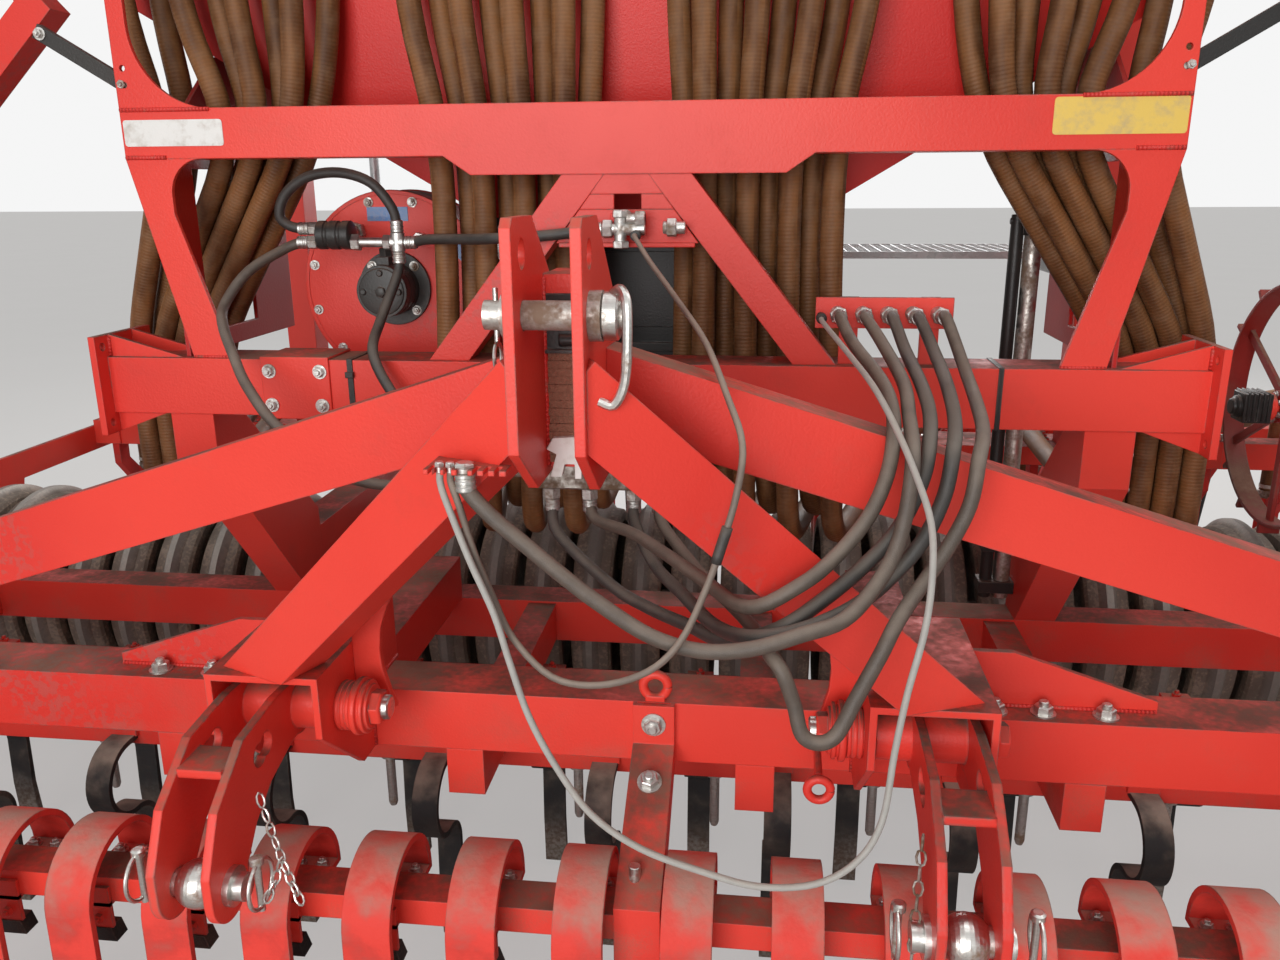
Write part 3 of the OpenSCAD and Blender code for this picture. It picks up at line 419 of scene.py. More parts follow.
BRIGHT_RED, DEEP_RED = (0.80, 0.058, 0.038, 1), (0.66, 0.036, 0.026, 1)
red = painted("red_paint", BRIGHT_RED, DEEP_RED, 0.95)
hopper_red = painted("hopper_red_paint", (0.72, 0.025, 0.018, 1), (0.52, 0.016, 0.014, 1), 0.55)
arm_red = painted("worn_arm_paint", BRIGHT_RED, DEEP_RED, 1.0, edge=0.007)
# The side panels' red is much darker than the rest: painted shade for panels that stand in shadow.
shaded_panel_red = painted("panel_red_painted_shade", (0.48, 0.014, 0.012, 1), (0.36, 0.010, 0.010, 1), 0.45)
black = painted("black_paint", (0.022, 0.021, 0.020, 1), (0.045, 0.04, 0.036, 1), 0.7)


def dress(finish, *nodes):
    for node in nodes:
        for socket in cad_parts[node].material_slots:
            socket.material = finish


dress(arm_red, "hitch_arm_left", "hitch_arm_right")
dress(red, "front_beam", "hitch_brackets", "hitch_pivots", "mast", "hitch_braces",
    "frame_rails", "tine_frame", "tine_beams", "levelling_beam", "levelling_arms", "packer_beam",
    "packer_end_plates", "rear_cross_beam", "tank_upper_beam", "tank_side_plates", "tank_cross_tube",
    "tank_struts", "tank_pillars", "fan_housing", "coulter_rails", "rear_arms", "marker_posts",
    "marker_arm_left", "marker_arm_right", "wheel_bracket", "hose_supports")
dress(hopper_red, "hopper")
dress(shaded_panel_red, "tank_side_panels")
dress(black, "riser", "distributor_head", "fan_motor", "marker_locks", "harrow")
dress(painted("worn_wheel_paint", (0.30, 0.018, 0.014, 1), (0.075, 0.030, 0.022, 1), 1.0, soil_height=1.3,
    edge=0.007, gloss=0.45), "land_wheel")


# Metals: turned pins are bright under old grease, the walkway, lid and rotor are hot-dip zinc, and
# the marker discs are plain steel that the soil has browned. The meter is cast and painted black.
def steel(name, bright, stained, stain, rough):
    finish = Finish(name, Metallic=1.0)
    patch, grain, drawn = finish.noise(22, 4), finish.noise(160), finish.noise(30, 2, (1, 12, 12))
    rust = finish.between(patch + grain * 0.4, 0.85 - stain * 0.4, 1.1 - stain * 0.3)
    finish.set(Base_Color=finish.mixed(rust, finish.mixed(drawn, bright, (0.42, 0.40, 0.37, 1)), stained),
        Metallic=1 - rust * 0.85, Roughness=rough + drawn * 0.15 + rust * 0.4)
    finish.bump(grain + rust, 0.0003)
    return finish.material


def galvanised():
    finish = Finish("galvanised_steel", Metallic=0.7)
    spangle = finish.node("ShaderNodeTexVoronoi", {}, {"Vector": finish.place, "Scale": 55.0}, "Color")
    flake = finish.part_of(spangle, "X")
    dirt = finish.between(finish.noise(9, 5) + finish.facing_up() * 0.15, 0.55, 0.95)
    skin = finish.mixed(flake, (0.36, 0.37, 0.37, 1), (0.50, 0.51, 0.51, 1))
    finish.set(Base_Color=finish.mixed(dirt * 0.55, skin, SOIL), Roughness=0.38 + flake * 0.15 + dirt * 0.3)
    finish.bump(finish.noise(200), 0.0004)
    return finish.material


bright_steel = steel("bright_steel", (0.72, 0.71, 0.68, 1), (0.20, 0.12, 0.07, 1), 0.25, 0.24)
brown_steel = steel("browned_steel", (0.45, 0.42, 0.38, 1), (0.14, 0.085, 0.05, 1), 0.8, 0.36)
zinc = galvanised()
dusty_steel = steel("dusty_steel", (0.56, 0.53, 0.49, 1), (0.19, 0.125, 0.085, 1), 0.7, 0.30)
dress(bright_steel, "hitch_pin_left", "hitch_pin_right", "lid_hinge_rod")
dress(dusty_steel, "top_link_pin")
dress(brown_steel, "marker_disc_left", "marker_disc_right")
dress(zinc, "hopper_lid", "fan_rotor", "platform", "platform_arms", "handrail", "steps", "hydraulic_fittings")
dress(black, "meter_housing")


# Packer: cast rings on one shaft, polished where they roll on the soil and grey-brown elsewhere,
# with dry earth caked on them in patches.
def packer_iron():
    finish = Finish("packer_ring_iron", Specular_IOR_Level=0.3)
    low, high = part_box("packer_roller")
    axis_y, axis_z = (low.y + high.y) / 2, (low.z + high.z) / 2
    dy, dz = finish.part_of(finish.place, "Y") - axis_y, finish.part_of(finish.place, "Z") - axis_z
    radius = (dy * dy + dz * dz) ** 0.5
    patch, grain = finish.noise(14, 5), finish.noise(120)
    rim = finish.between(radius + patch * 0.012, high.z - axis_z - 0.020, high.z - axis_z + 0.004)
    tone = finish.mixed(patch, (0.11, 0.085, 0.065, 1), (0.245, 0.195, 0.155, 1))
    caked = finish.between(grain + patch, 0.95, 1.2)
    earthy = finish.mixed(caked, tone, (0.31, 0.24, 0.18, 1))
    finish.set(Base_Color=finish.mixed(rim * 0.75, earthy, (0.33, 0.31, 0.285, 1)),
        Metallic=rim * 0.6, Roughness=0.78 - rim * 0.25)
    finish.bump(patch + grain * 0.5, 0.0035, 0.8)
    return finish.material


dress(packer_iron(), "packer_roller")


# Ground tools: the spring paddles, tines and coulters leave the works painted, and the soil has
# stripped and browned them up to the depth at which they run.
def stripped(name, colour, shade, line, blur):
    finish = Finish(name, Specular_IOR_Level=0.4)
    height = finish.part_of(finish.place, "Z")
    patch, grain = finish.noise(18, 5), finish.noise(150)
    paint = finish.mixed(finish.between(patch, 0.4, 0.7), colour, shade)
    dust = finish.between(finish.facing_up() * 0.45 + patch, 0.55, 1.15) * 0.8
    dusty = finish.mixed(dust, paint, PALE_DUST)
    bare = finish.between(height + patch * blur, line + blur, line)
    browned = finish.between(grain + patch * 0.5, 0.5, 0.95)
    metal = finish.mixed(browned, (0.25, 0.225, 0.20, 1), (0.13, 0.09, 0.065, 1))
    rubbed = finish.edges(0.004) * finish.between(patch, 0.42, 0.6)
    worn = finish.larger(bare, rubbed * 0.8)
    finish.set(Base_Color=finish.mixed(worn, dusty, metal), Metallic=worn * 0.35, Roughness=0.6 + patch * 0.2)
    finish.bump(grain + patch, 0.0012, 0.7, finish.node("ShaderNodeBevel", {"samples": 4}, {"Radius": 0.003}))
    return finish.material


dress(stripped("worn_red_paddles", (0.72, 0.045, 0.030, 1), (0.50, 0.035, 0.025, 1), 0.13, 0.10),
    "levelling_paddles")
dress(stripped("worn_black_tines", (0.018, 0.017, 0.017, 1), (0.05, 0.042, 0.036, 1), 0.10, 0.10),
    "spring_tines", "harrow_tines")
dress(stripped("worn_red_coulters", (0.66, 0.030, 0.022, 1), (0.48, 0.024, 0.018, 1), 0.22, 0.14),
    "coulters_front", "coulters_rear")


# Fasteners: zinc-plated hex bolts with washers, each seated on the face that it clamps. Their points
# carry the direction that they look in, and one tree of nodes sets the same piece on all of them.
LEFT, RIGHT, FRONT, REAR, UP, DOWN = (-1, 0, 0), (1, 0, 0), (0, -1, 0), (0, 1, 0), (0, 0, 1), (0, 0, -1)
both_sides = (1, -1)


def laid(across, u, v, t):
    """a place from two coordinates across an axis and one along it"""
    return {"x": (t, u, v), "y": (u, t, v), "z": (u, v, t)}[across]


def around(centre, across, radius, degrees):
    """places round a centre, so many degrees from its top, or from its rear where the circle lies flat"""
    x, y, z = centre
    turns = [math.radians(turn) for turn in degrees]
    steps = [laid(across, radius * math.sin(turn), radius * math.cos(turn), 0) for turn in turns]
    return [(x + dx, y + dy, z + dz) for dx, dy, dz in steps]


def turned(start, looks, outline, sides=20, ring=False):
    """a turned piece: its outline gives distance from start and radius, all round for an open ring"""
    axis = Vector(looks).normalized()
    one = axis.orthogonal().normalized()
    two = axis.cross(one)
    corners, faces = [], []
    for along, radius in outline:
        for k in range(sides):
            turn = 2 * math.pi * k / sides
            out = math.cos(turn) * one + math.sin(turn) * two
            corners.append(Vector(start) + axis * along + radius * out)
    for i in range(len(outline) if ring else len(outline) - 1):
        this, after = i * sides, (i + 1) % len(outline) * sides
        for k in range(sides):
            beside = (k + 1) % sides
            faces.append((this + k, this + beside, after + beside, after + k))
    if not ring:
        faces += [tuple(range(sides - 1, -1, -1)), tuple(range(len(corners) - sides, len(corners)))]
    return corners, faces


def forms_mesh(name, forms, finish, scale=MM, shift=PINS_Y):
    """one mesh of all the forms, with smooth shading up to an angle and faces that look outwards"""
    corners, faces = [], []
    for more, those in forms:
        faces += [[len(corners) + c for c in face] for face in those]
        corners += [(x * scale, y * scale + shift, z * scale) for x, y, z in more]
    mesh = bpy.data.meshes.new(name)
    mesh.from_pydata(corners, [], faces)
    work = bmesh.new()
    work.from_mesh(mesh)
    bmesh.ops.recalc_face_normals(work, faces=work.faces)
    work.to_mesh(mesh)
    work.free()
    mesh.polygons.foreach_set("use_smooth", [True] * len(mesh.polygons))
    mesh.set_sharp_from_angle(angle=math.radians(32))
    mesh.materials.append(finish)
    return mesh


def repeat_nodes():
    tree = bpy.data.node_groups.new("repeat_on_points", "GeometryNodeTree")
    for name, kind in (
            ("Points", "Geometry"), ("Piece", "Object"), ("Size", "Float"), ("Finish", "Material")):
        tree.interface.new_socket(name, in_out="INPUT", socket_type="NodeSocket" + kind)
    tree.interface.new_socket("Pieces", in_out="OUTPUT", socket_type="NodeSocketGeometry")
    inputs, piece, looks, turn, onto, whole, coat, result = (tree.nodes.new(kind) for kind in (
        "NodeGroupInput", "GeometryNodeObjectInfo", "GeometryNodeInputNamedAttribute",
        "FunctionNodeAlignRotationToVector", "GeometryNodeInstanceOnPoints", "GeometryNodeRealizeInstances",
        "GeometryNodeSetMaterial", "NodeGroupOutput"))
    looks.data_type = "FLOAT_VECTOR"
    looks.inputs["Name"].default_value = "outwards"
    turn.axis = "Z"
    for first, socket, second, into in (
            (inputs, "Piece", piece, "Object"), (inputs, "Points", onto, "Points"),
            (piece, "Geometry", onto, "Instance"), (looks, "Attribute", turn, "Vector"),
            (turn, "Rotation", onto, "Rotation"), (inputs, "Size", onto, "Scale"),
            (onto, "Instances", whole, "Geometry"), (whole, "Geometry", coat, "Geometry"),
            (inputs, "Finish", coat, "Material"), (coat, "Geometry", result, "Pieces")):
        tree.links.new(first.outputs[socket], second.inputs[into])
    return tree


repeat_on_points = repeat_nodes()


def repeated(name, forms, spots, finish, body="frame"):
    """the same piece on every spot, which is a point and the direction that its z looks in"""
    pattern = bpy.data.objects.new("pattern", forms_mesh("pattern", forms, finish, 1, 0))
    mesh = bpy.data.meshes.new(name)
    mesh.from_pydata([spot(*at) for at, looks in spots], [], [])
    outwards = mesh.attributes.new("outwards", "FLOAT_VECTOR", "POINT")
    outwards.data.foreach_set("vector", [n for at, looks in spots for n in looks])
    piece = bpy.data.objects.new(name, mesh)
    for made in (pattern, piece):
        bpy.context.scene.collection.objects.link(made)
    repeat = piece.modifiers.new("repeat", "NODES")
    repeat.node_group = repeat_on_points
    chosen = {"Piece": pattern, "Size": MM, "Finish": finish}
    for socket in repeat_on_points.interface.items_tree:
        if socket.in_out == "INPUT" and socket.name in chosen:
            repeat[socket.identifier] = chosen[socket.name]
    plain = bpy.data.meshes.new_from_object(piece.evaluated_get(bpy.context.evaluated_depsgraph_get()))
    piece.modifiers.clear()
    piece.data = plain
    plain.name = name
    bpy.data.objects.remove(pattern)
    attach(piece, body)


CORNER = 0.577    # from a hexagon's size across its flats to half its size across its corners


def hex_bolt(across, head):
    """a bolt that looks up, from its size across the flats and its head's height"""
    washer, rim, corner, stud = 2.5, across * 0.78, across * CORNER, across * 0.30
    return [turned((0, 0, 0), UP, [(0, rim), (washer, rim)]),
        turned((0, 0, 0), UP, [(washer, corner), (washer + head * 0.85, corner),
            (washer + head, corner * 0.86)], 6),
        turned((0, 0, 0), UP, [(washer + head, stud), (washer + head * 1.45, stud),
            (washer + head * 1.55, stud * 0.8)], 12)]


zinc_bolt = steel("zinc_plating", (0.66, 0.66, 0.64, 1), (0.22, 0.15, 0.10, 1), 0.45, 0.32)
arm_slope = (0, -0.4625, 0.8866)
levelling_arms_x = (74, -1378, 1378)
wing_bolts = [((side * x, 376, 625), UP) for side in both_sides for x in (585, 655, 745)]
arm_bolts = [((x, 338, 594), FRONT) for x in levelling_arms_x]
arm_bolts += [((x, 280, 529.7), arm_slope) for x in levelling_arms_x]
repeated("beam_bolts", hex_bolt(24, 12), wing_bolts + arm_bolts, zinc_bolt)
end_plate_face = 2012
frame_bolts = [((side * 830, y, z), (side, 0, 0)) for side in both_sides
    for y, z in ((680, 950), (680, 890), (980, 600), (980, 670))]
frame_bolts += [((side * x, y, 640), UP) for side in both_sides for x in (735, 765, 1610, 1640)
    for y in (2100, 2140)]
frame_bolts += [((side * end_plate_face, y, 585), (side, 0, 0)) for side in both_sides
    for y in (1180, 1280, 1900, 2000, 2100)]
frame_bolts += [(at, (side, 0, 0)) for side in both_sides
    for at in around((side * end_plate_face, 1550, 280), "x", 78, range(45, 360, 90))]
repeated("frame_bolts", hex_bolt(19, 7), frame_bolts, zinc_bolt)


# Blank plates: the two thin plates on the ends of the tank beam, one white and one yellow, have
# nothing on them here. Each is printed sheet, held by the glue behind it.
def printed_sheet(name, colour):
    finish = Finish(name, Coat_Weight=0.2)
    grime = finish.between(finish.noise(26, 5) + finish.noise(140) * 0.4, 0.62, 1.0) * 0.6
    finish.set(Base_Color=finish.mixed(grime, colour, (0.36, 0.29, 0.22, 1)), Roughness=0.4 + grime * 0.4)
    finish.bump(finish.noise(300), 0.0002)
    return finish.material


def plate(outline, across, low, high):
    """a flat plate: its outline in the two other directions, its thickness from low to high"""
    n = len(outline)
    corners = [laid(across, u, v, t) for t in (low, high) for u, v in outline]
    faces = [tuple(range(n)), tuple(range(2 * n - 1, n - 1, -1))]
    return corners, faces + [(k, k + n, (k + 1) % n + n, (k + 1) % n) for k in range(n)]


def rounded_outline(low_u, high_u, low_v, high_v, corner):
    """a rectangle with rounded corners"""
    outline = []
    for u, v, first in ((high_u - corner, high_v - corner, 0), (low_u + corner, high_v - corner, 90),
            (low_u + corner, low_v + corner, 180), (high_u - corner, low_v + corner, 270)):
        turns = [math.radians(first + turn) for turn in (0, 30, 60, 90)]
        outline += [(u + corner * math.cos(turn), v + corner * math.sin(turn)) for turn in turns]
    return outline


def build(name, forms, finish, body="frame", bevel=0.0):
    piece = bpy.data.objects.new(name, forms_mesh(name, forms, finish))
    bpy.context.scene.collection.objects.link(piece)
    if bevel:
        edges = piece.modifiers.new("edges", "BEVEL")
        edges.width, edges.segments, edges.limit_method = bevel * MM, 2, "ANGLE"
    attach(piece, body)
    return piece


beam_face, sheet_thickness = 640, 1.4
for name, outline, colour in (
        ("white", rounded_outline(-846, -672, 1455, 1497, 5), (0.74, 0.73, 0.70, 1)),
        ("yellow", rounded_outline(652, 846, 1457, 1511, 5), (0.76, 0.52, 0.10, 1))):
    build(f"blank_{name}_plate", [plate(outline, "y", beam_face - sheet_thickness, beam_face)],
        printed_sheet(f"{name}_sheet", colour))


# Welds: rounded beads of weld metal run along the joints of the hitch and the tank frame, painted
# over with the rest. Each bead is a thin rod with small ripples that lies half in the joint.
def weld_bead():
    finish = Finish("painted_weld", Specular_IOR_Level=0.5)
    ripple_pitch = 0.006
    along = finish.part_of(finish.node("ShaderNodeUVMap", {"uv_map": "along"}, {}), "Y")
    ripple = finish.node("ShaderNodeMath", {"operation": "SINE"}, {0: along * (2 * math.pi / ripple_pitch)})
    worn = finish.between(finish.noise(60), 0.5, 0.8)
    finish.set(Base_Color=finish.mixed(worn, (0.62, 0.03, 0.022, 1), (0.30, 0.10, 0.07, 1)),
        Roughness=0.45 + finish.noise(90) * 0.2)
    finish.bump(ripple, 0.0006, 0.6)
    return finish.material


weld_radius = 3.5
bracket_welds = [((x, 352, 626), (x, 468, 626)) for x in (376, 542)]
bracket_welds += [((x, 349, 526), (x, 349, 624)) for x in (376, 542)]
bracket_welds += [((545, 394, 626), (822, 394, 626)), ((406, 451, 625), (506, 451, 625))]
mast_welds = [((30, 119, 1062), (30, 119, 1286))]
tank_frame_welds = [((929, y, 1101), (929, y, 1135)) for y in (639, 721)]
tank_frame_welds += [((700, 641, 1101), (770, 641, 1101)), ((848, 639, 1437), (777, 639, 1437)),
    ((848, 639, 1513), (692, 639, 1513))]
weld_ways = [[spot(side * x, y, z) for x, y, z in ends] for side in both_sides
    for ends in bracket_welds + mast_welds + tank_frame_welds]
tube_piece("weld_beads", weld_ways, weld_radius, weld_bead(), sides=8)


# Mast: the top link pin is held by a bright collar with a bent handle, dry soil fills the pocket
# between the cheeks with a black plate of painted shade above it, and a white plastic clip for the
# cables hangs at the mast's foot.
def bent(points, radius, sides=10, steps=4):
    """a bent rod through given points"""
    return sweep(smooth_way([Vector(p) for p in points], steps), radius, sides)[:2]


def rod(start, end, radius, sides=16):
    """a round bar whose ends have a small lip"""
    along, lip = Vector(end) - Vector(start), radius * 0.12
    length = along.length
    outline = [(0, radius - lip), (lip, radius), (length - lip, radius), (length, radius - lip)]
    return turned(start, along, outline, sides)


def block(low, high):
    (a, b, c), (d, e, f) = low, high
    corners = [(a, b, c), (d, b, c), (d, e, c), (a, e, c), (a, b, f), (d, b, f), (d, e, f), (a, e, f)]
    return corners, [(0, 3, 2, 1), (4, 5, 6, 7), (0, 1, 5, 4), (1, 2, 6, 5), (2, 3, 7, 6), (3, 0, 4, 7)]


top_pin_y = 16
handle = [(66, top_pin_y, 1278), (76, 4, 1284), (84, -10, 1272), (85, -14, 1235), (82, -14, 1190),
    (70, -12, 1165), (54, -10, 1168)]
collar = turned((56, top_pin_y, 1255), RIGHT, [(0, 23.5), (2, 26), (16, 26), (18, 23.5)], 28)
cotter = rod((-60, top_pin_y, 1284), (-60, top_pin_y, 1226), 3)
cotter_ring = bent(around((-60, top_pin_y, 1210), "x", 16, range(0, 361, 40)), 2.2, 8, 2)
build("top_pin_handle", [bent(handle, 5.5), collar, cotter, cotter_ring], bright_steel)


def dry_soil():
    finish = Finish("dry_soil", Specular_IOR_Level=0.1, Roughness=0.95)
    crumbs, lumps = finish.noise(240, 6), finish.noise(40, 5)
    finish.set(Base_Color=finish.mixed(crumbs, (0.20, 0.085, 0.055, 1), (0.36, 0.185, 0.125, 1)))
    finish.bump(crumbs + lumps * 2.0, 0.004)
    return finish.material


mast_web, layer = 119.9, 9.5
pocket = []
for i in range(14):
    z = 1066 + layer * i
    depth = 1.2 + 2.6 * (0.5 + 0.5 * math.sin(i * 2.3)) * (1 - i / 30)
    pocket.append(block((-29.2, mast_web - depth, z), (29.2, mast_web, z + layer)))
build("soil_in_the_mast", pocket, dry_soil(), bevel=0.8)
# The black plate and ledge at the back of the pocket, above the soil, are painted shade for the dark of the
# open pocket; the black rod sits in front of them.
pocket_shade = [block((-28.5, 117.8, 1201), (28.5, mast_web, 1268)),
    block((-28.5, 112, 1199), (28.5, mast_web, 1203))]
build("mast_pocket", [*pocket_shade, rod((-12, 118, 1214), (14, 118, 1214), 7, 12)], black)
white_plastic = printed_sheet("white_clip_plastic", (0.70, 0.69, 0.66, 1))
clip_outline = [(-26, 1050), (-12, 1050), (-8, 1066), (4, 1066), (4, 1048), (12, 1048), (14, 1092),
    (4, 1100), (-22, 1098), (-30, 1084), (-18, 1078)]
build("cable_clip", [plate(clip_outline, "y", 108, 119)], white_plastic, bevel=1)


# Hydraulic fittings: a black valve and a tee feed the fan's motor, a dusty manifold block with its
# coils stands under the mast, and the couplings of the tractor hoses are parked in a row, with red caps.
def hex_bar(start, end, across):
    """a hexagonal bar or nut whose ends have a small lip"""
    along, lip, corner = Vector(end) - Vector(start), across * 0.06, across * CORNER
    length = along.length
    outline = [(0, corner - lip), (lip, corner), (length - lip, corner), (length, corner - lip)]
    return turned(start, along, outline, 6)


def level_bar(form, x1, x2, y, z, size):
    """a rod or a hexagonal bar that lies across the machine"""
    return form((x1, y, z), (x2, y, z), size)


def upright_bar(form, x, y, z1, z2, size):
    """a rod or a hexagonal bar that stands up"""
    return form((x, y, z1), (x, y, z2), size)


def deep_bar(form, x, y1, y2, z, size):
    """a rod or a hexagonal bar that points to the rear"""
    return form((x, y1, z), (x, y2, z), size)


tee_x, tee_y, tee_z = -425, 752, 1292
valve_x, valve_z = -550, 1305
motor_feed = [level_bar(rod, -512, -436, 757, tee_z, 8.5), level_bar(hex_bar, -512, -496, 757, tee_z, 26),
    level_bar(hex_bar, -452, -438, 755, tee_z, 24), level_bar(rod, -438, -412, 752.5, tee_z, 12.5),
    upright_bar(rod, tee_x, tee_y, tee_z - 16, tee_z + 18, 12.5),
    deep_bar(rod, tee_x, 762, 880, 1292.5, 7), deep_bar(hex_bar, tee_x, 862, 880, 1292.5, 22),
    deep_bar(rod, valve_x, 786, 880, valve_z, 13.5), deep_bar(hex_bar, valve_x, 790, 806, valve_z, 34),
    deep_bar(hex_bar, valve_x, 862, 880, valve_z, 34)]
valve_ports = ((760, 1316), (752, 1292))
motor_feed += [level_bar(hex_bar, -590, -574, y, z, 21) for y, z in valve_ports]
lower_ports_x, lower_ports_y = (-100, -40, 30, 70), 470
side_ports_z, side_ports_y = (950, 978), 485
manifold_ports = [form for x in lower_ports_x for form in (
    upright_bar(hex_bar, x, lower_ports_y, 912, 930, 23.5),
    upright_bar(rod, x, lower_ports_y, 906, 914, 9.5))]
manifold_ports += [form for z in side_ports_z for form in (
    level_bar(hex_bar, -138, -120, side_ports_y, z, 22.5), level_bar(rod, -190, -136, side_ports_y, z, 9.5),
    level_bar(hex_bar, -190, -176, side_ports_y, z, 19.5))]
cross_y = 616
mast_cross = [level_bar(rod, -34, 34, cross_y, 1320, 10), level_bar(hex_bar, -35, -19, cross_y, 1320, 26),
    level_bar(hex_bar, 18, 34, cross_y, 1336, 22), upright_bar(rod, -6, cross_y, 1292, 1348, 10.5),
    upright_bar(hex_bar, -6, cross_y, 1338, 1350, 24), upright_bar(hex_bar, -6, cross_y, 1290, 1302, 24),
    level_bar(rod, 4, 34, cross_y, 1336, 8), deep_bar(rod, 20, 600, 628, 1310, 7),
    rod((0, cross_y, 1330), (0, 634.5, 1342), 11)]
comb_y, comb_top, comb_edge = -24, 1090, -18
comb_ends = [form for x, radius in ((-92, 9.5), (-108, 4.5), (-120, 4.5)) for form in (
    upright_bar(rod, x, comb_y, comb_top, comb_top + 12, radius),
    upright_bar(hex_bar, x, comb_y, comb_top + 6, comb_top + 11, radius * 2.1))]
fittings = motor_feed + manifold_ports + mast_cross + comb_ends
steel_fittings = build("steel_fittings", fittings, zinc_bolt)
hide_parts("hydraulic_fittings")

valve_plate_outlines = ([(-118, 1296), (118, 1296), (78, 1350), (-78, 1350)],
    [(-78, 1350), (-20, 1350), (-20, 1374), (-60, 1374)], [(24, 1350), (78, 1350), (60, 1374), (24, 1374)],
    [(-60, 1374), (60, 1374), (16, 1436), (-16, 1436)])
valve_plate = [plate(outline, "y", 646, 652) for outline in valve_plate_outlines]
valve_plate += [block((-112, 640, 1290), (112, 652, 1297)), block((-24, 628, 1330), (26, 646, 1344))]
build("valve_plate", valve_plate, red, bevel=1)
plate_fitting = [level_bar(rod, 62, 98, 622, 1322, 10), level_bar(hex_bar, 68, 84, 622, 1322, 26),
    deep_bar(rod, 80, 622, 647, 1322, 8)]
build("valve_plate_fitting", plate_fitting, zinc_bolt)
manifold = [block((-120, 455.5, 930), (90, 500, 990)),
    plate([(465, 990), (495, 990), (495, 1031), (465, 1037.5)], "x", -15, 15)]
build("manifold_block", manifold, brown_steel, bevel=3)

valve_grooves = [(0, 19), (3, 25.5), (16, 25.5), (18, 23), (22, 23), (24, 25.5), (40, 25.5), (42, 23),
    (46, 23), (48, 25.5), (62, 25.5), (65, 19)]
coils_x = (-95, -50, 45)
coils = [turned((x, 478, 990), UP, [(0, 15), (2, 17), (30, 17), (32, 9), (38, 9)]) for x in coils_x]
coils += [block((x - 9, 452, 998), (x + 9, 462, 1016)) for x in coils_x]
build("black_valve_and_coils", [turned((-576, 762.5, 1304.5), RIGHT, valve_grooves, 28), *coils,
    deep_bar(rod, 20, 597, 612, 1310, 8.5)], black, bevel=0.6)

comb = [(-135, -36)]
for x, half in ((-127.5, 2.2), (-120, 4.2), (-108, 4.2), (-92, 6.2), (-78, 2.6), (-66, 2.6), (-54, 2.6)):
    comb += [(x - half, -36), (x - half, comb_edge + 1), (x + half, comb_edge + 1), (x + half, -36)]
comb += [(-44, -36), (-44, -9), (-75, -3.5), (-135, 22.4)]
build("hose_comb", [plate(comb, "z", comb_top, comb_top + 6)], red, bevel=0.8)

crimps = [(0, 10)]
for first, last in ((1, 4), (8, 11), (15, 19)):
    crimps += [(first, 11.6), (last, 11.6)]
    crimps += [(last + 1, 10.8), (last + 3, 10.8)] if last < 19 else [(21, 9.8)]
hose_ends = [((x, lower_ports_y, 912), DOWN) for x in lower_ports_x]
hose_ends += [((-190, side_ports_y, z), LEFT) for z in side_ports_z]
hose_ends += [((-590, y, z), LEFT) for y, z in valve_ports]
hose_ends += [((tee_x, tee_y, tee_z + 18), UP), ((tee_x, tee_y, tee_z - 16), DOWN),
    ((-411, tee_y, tee_z), RIGHT), ((-35, cross_y, 1320), LEFT), ((-92, comb_y, comb_top), DOWN)]
repeated("hose_ferrules", [turned((0, 0, 0), UP, crimps, 16)], hose_ends, zinc_bolt)
parked = [((x, 612, 1185), FRONT) for x in (345, 385, 425, 465, 505)]
coupling = [turned((0, 0, 30), DOWN, [(0, 9.8), (4, 11.8), (24, 11.8), (26, 10.5), (30, 10.5)], 16),
    upright_bar(hex_bar, 0, 0, -12, 2, 25.5),
    turned((0, 0, -12), DOWN, [(0, 10.5), (2, 12.8), (12, 12.8), (14, 11.8), (20, 11.8), (28, 11.8)])]
repeated("parked_couplings", coupling, parked, zinc_bolt)
cap = turned((0, 0, -48.5), DOWN, [(0, 14.5), (2, 16), (20, 15), (26, 13.5), (30, 10), (31, 4)])
cap_red = printed_sheet("faded_red_cap", (0.42, 0.045, 0.035, 1))
repeated("coupling_caps", [cap], parked, cap_red)
build("grey_cable_plug", [deep_bar(rod, 318, 604, 652, 1180, 6.2), deep_bar(rod, 318, 612, 630, 1180, 8.5)],
    black)


# Fan: a rolled sheet housing with a bolted front and an open wire grille behind, and a cast
# hydraulic motor on its front. Two blank blue stickers are on the sheet.
fan_x, fan_y, fan_z = -480, 880, 1200
motor_bolts = around((fan_x, 872, fan_z), "y", 59, range(45, 360, 90))
cover_bolts = around((fan_x, fan_y, fan_z), "y", 165, range(15, 360, 30))
repeated("fan_bolts", hex_bolt(12, 6), [(at, FRONT) for at in motor_bolts + cover_bolts], zinc_bolt)
rim = [(0, 174), (0, 181.5), (4, 182.5), (8, 181.5), (8, 174)]
build("fan_rims", [turned((fan_x, y, fan_z), REAR, rim, 72, True) for y in (878.5, 993.5)], red)
casting = [(0, 30), (2, 42), (10, 48.5), (22, 48.5), (24, 46.2), (28, 46.2), (30, 49), (48, 49), (50, 46.2),
    (54, 46.2), (56, 49), (76, 49)]
motor = [turned((fan_x, 796, fan_z), REAR, casting, 40),
    turned((fan_x, 789, fan_z), REAR, [(0, 8), (1, 10), (8, 10)], 6)]
motor += [turned(at, REAR, [(0, 4.5), (1, 5.5), (8, 5.5)], 10)
    for at in around((fan_x, 792, fan_z), "y", 34, range(0, 360, 90))]
motor += [block((fan_x - 12, 815, fan_z + 40), (fan_x + 12, 860, fan_z + 62)),
    upright_bar(hex_bar, fan_x, 836, fan_z + 60, fan_z + 78, 22)]
build("fan_motor_casting", motor, black)
wire = 1.8
grille = [bent(around((fan_x, 998.5, fan_z), "y", radius, range(0, 361, 15)), wire, 6, 2)
    for radius in (30, 52, 74, 96)]
spoke_ends = [around((fan_x, 996.5, fan_z), "y", radius, range(0, 360, 45)) for radius in (20, 102)]
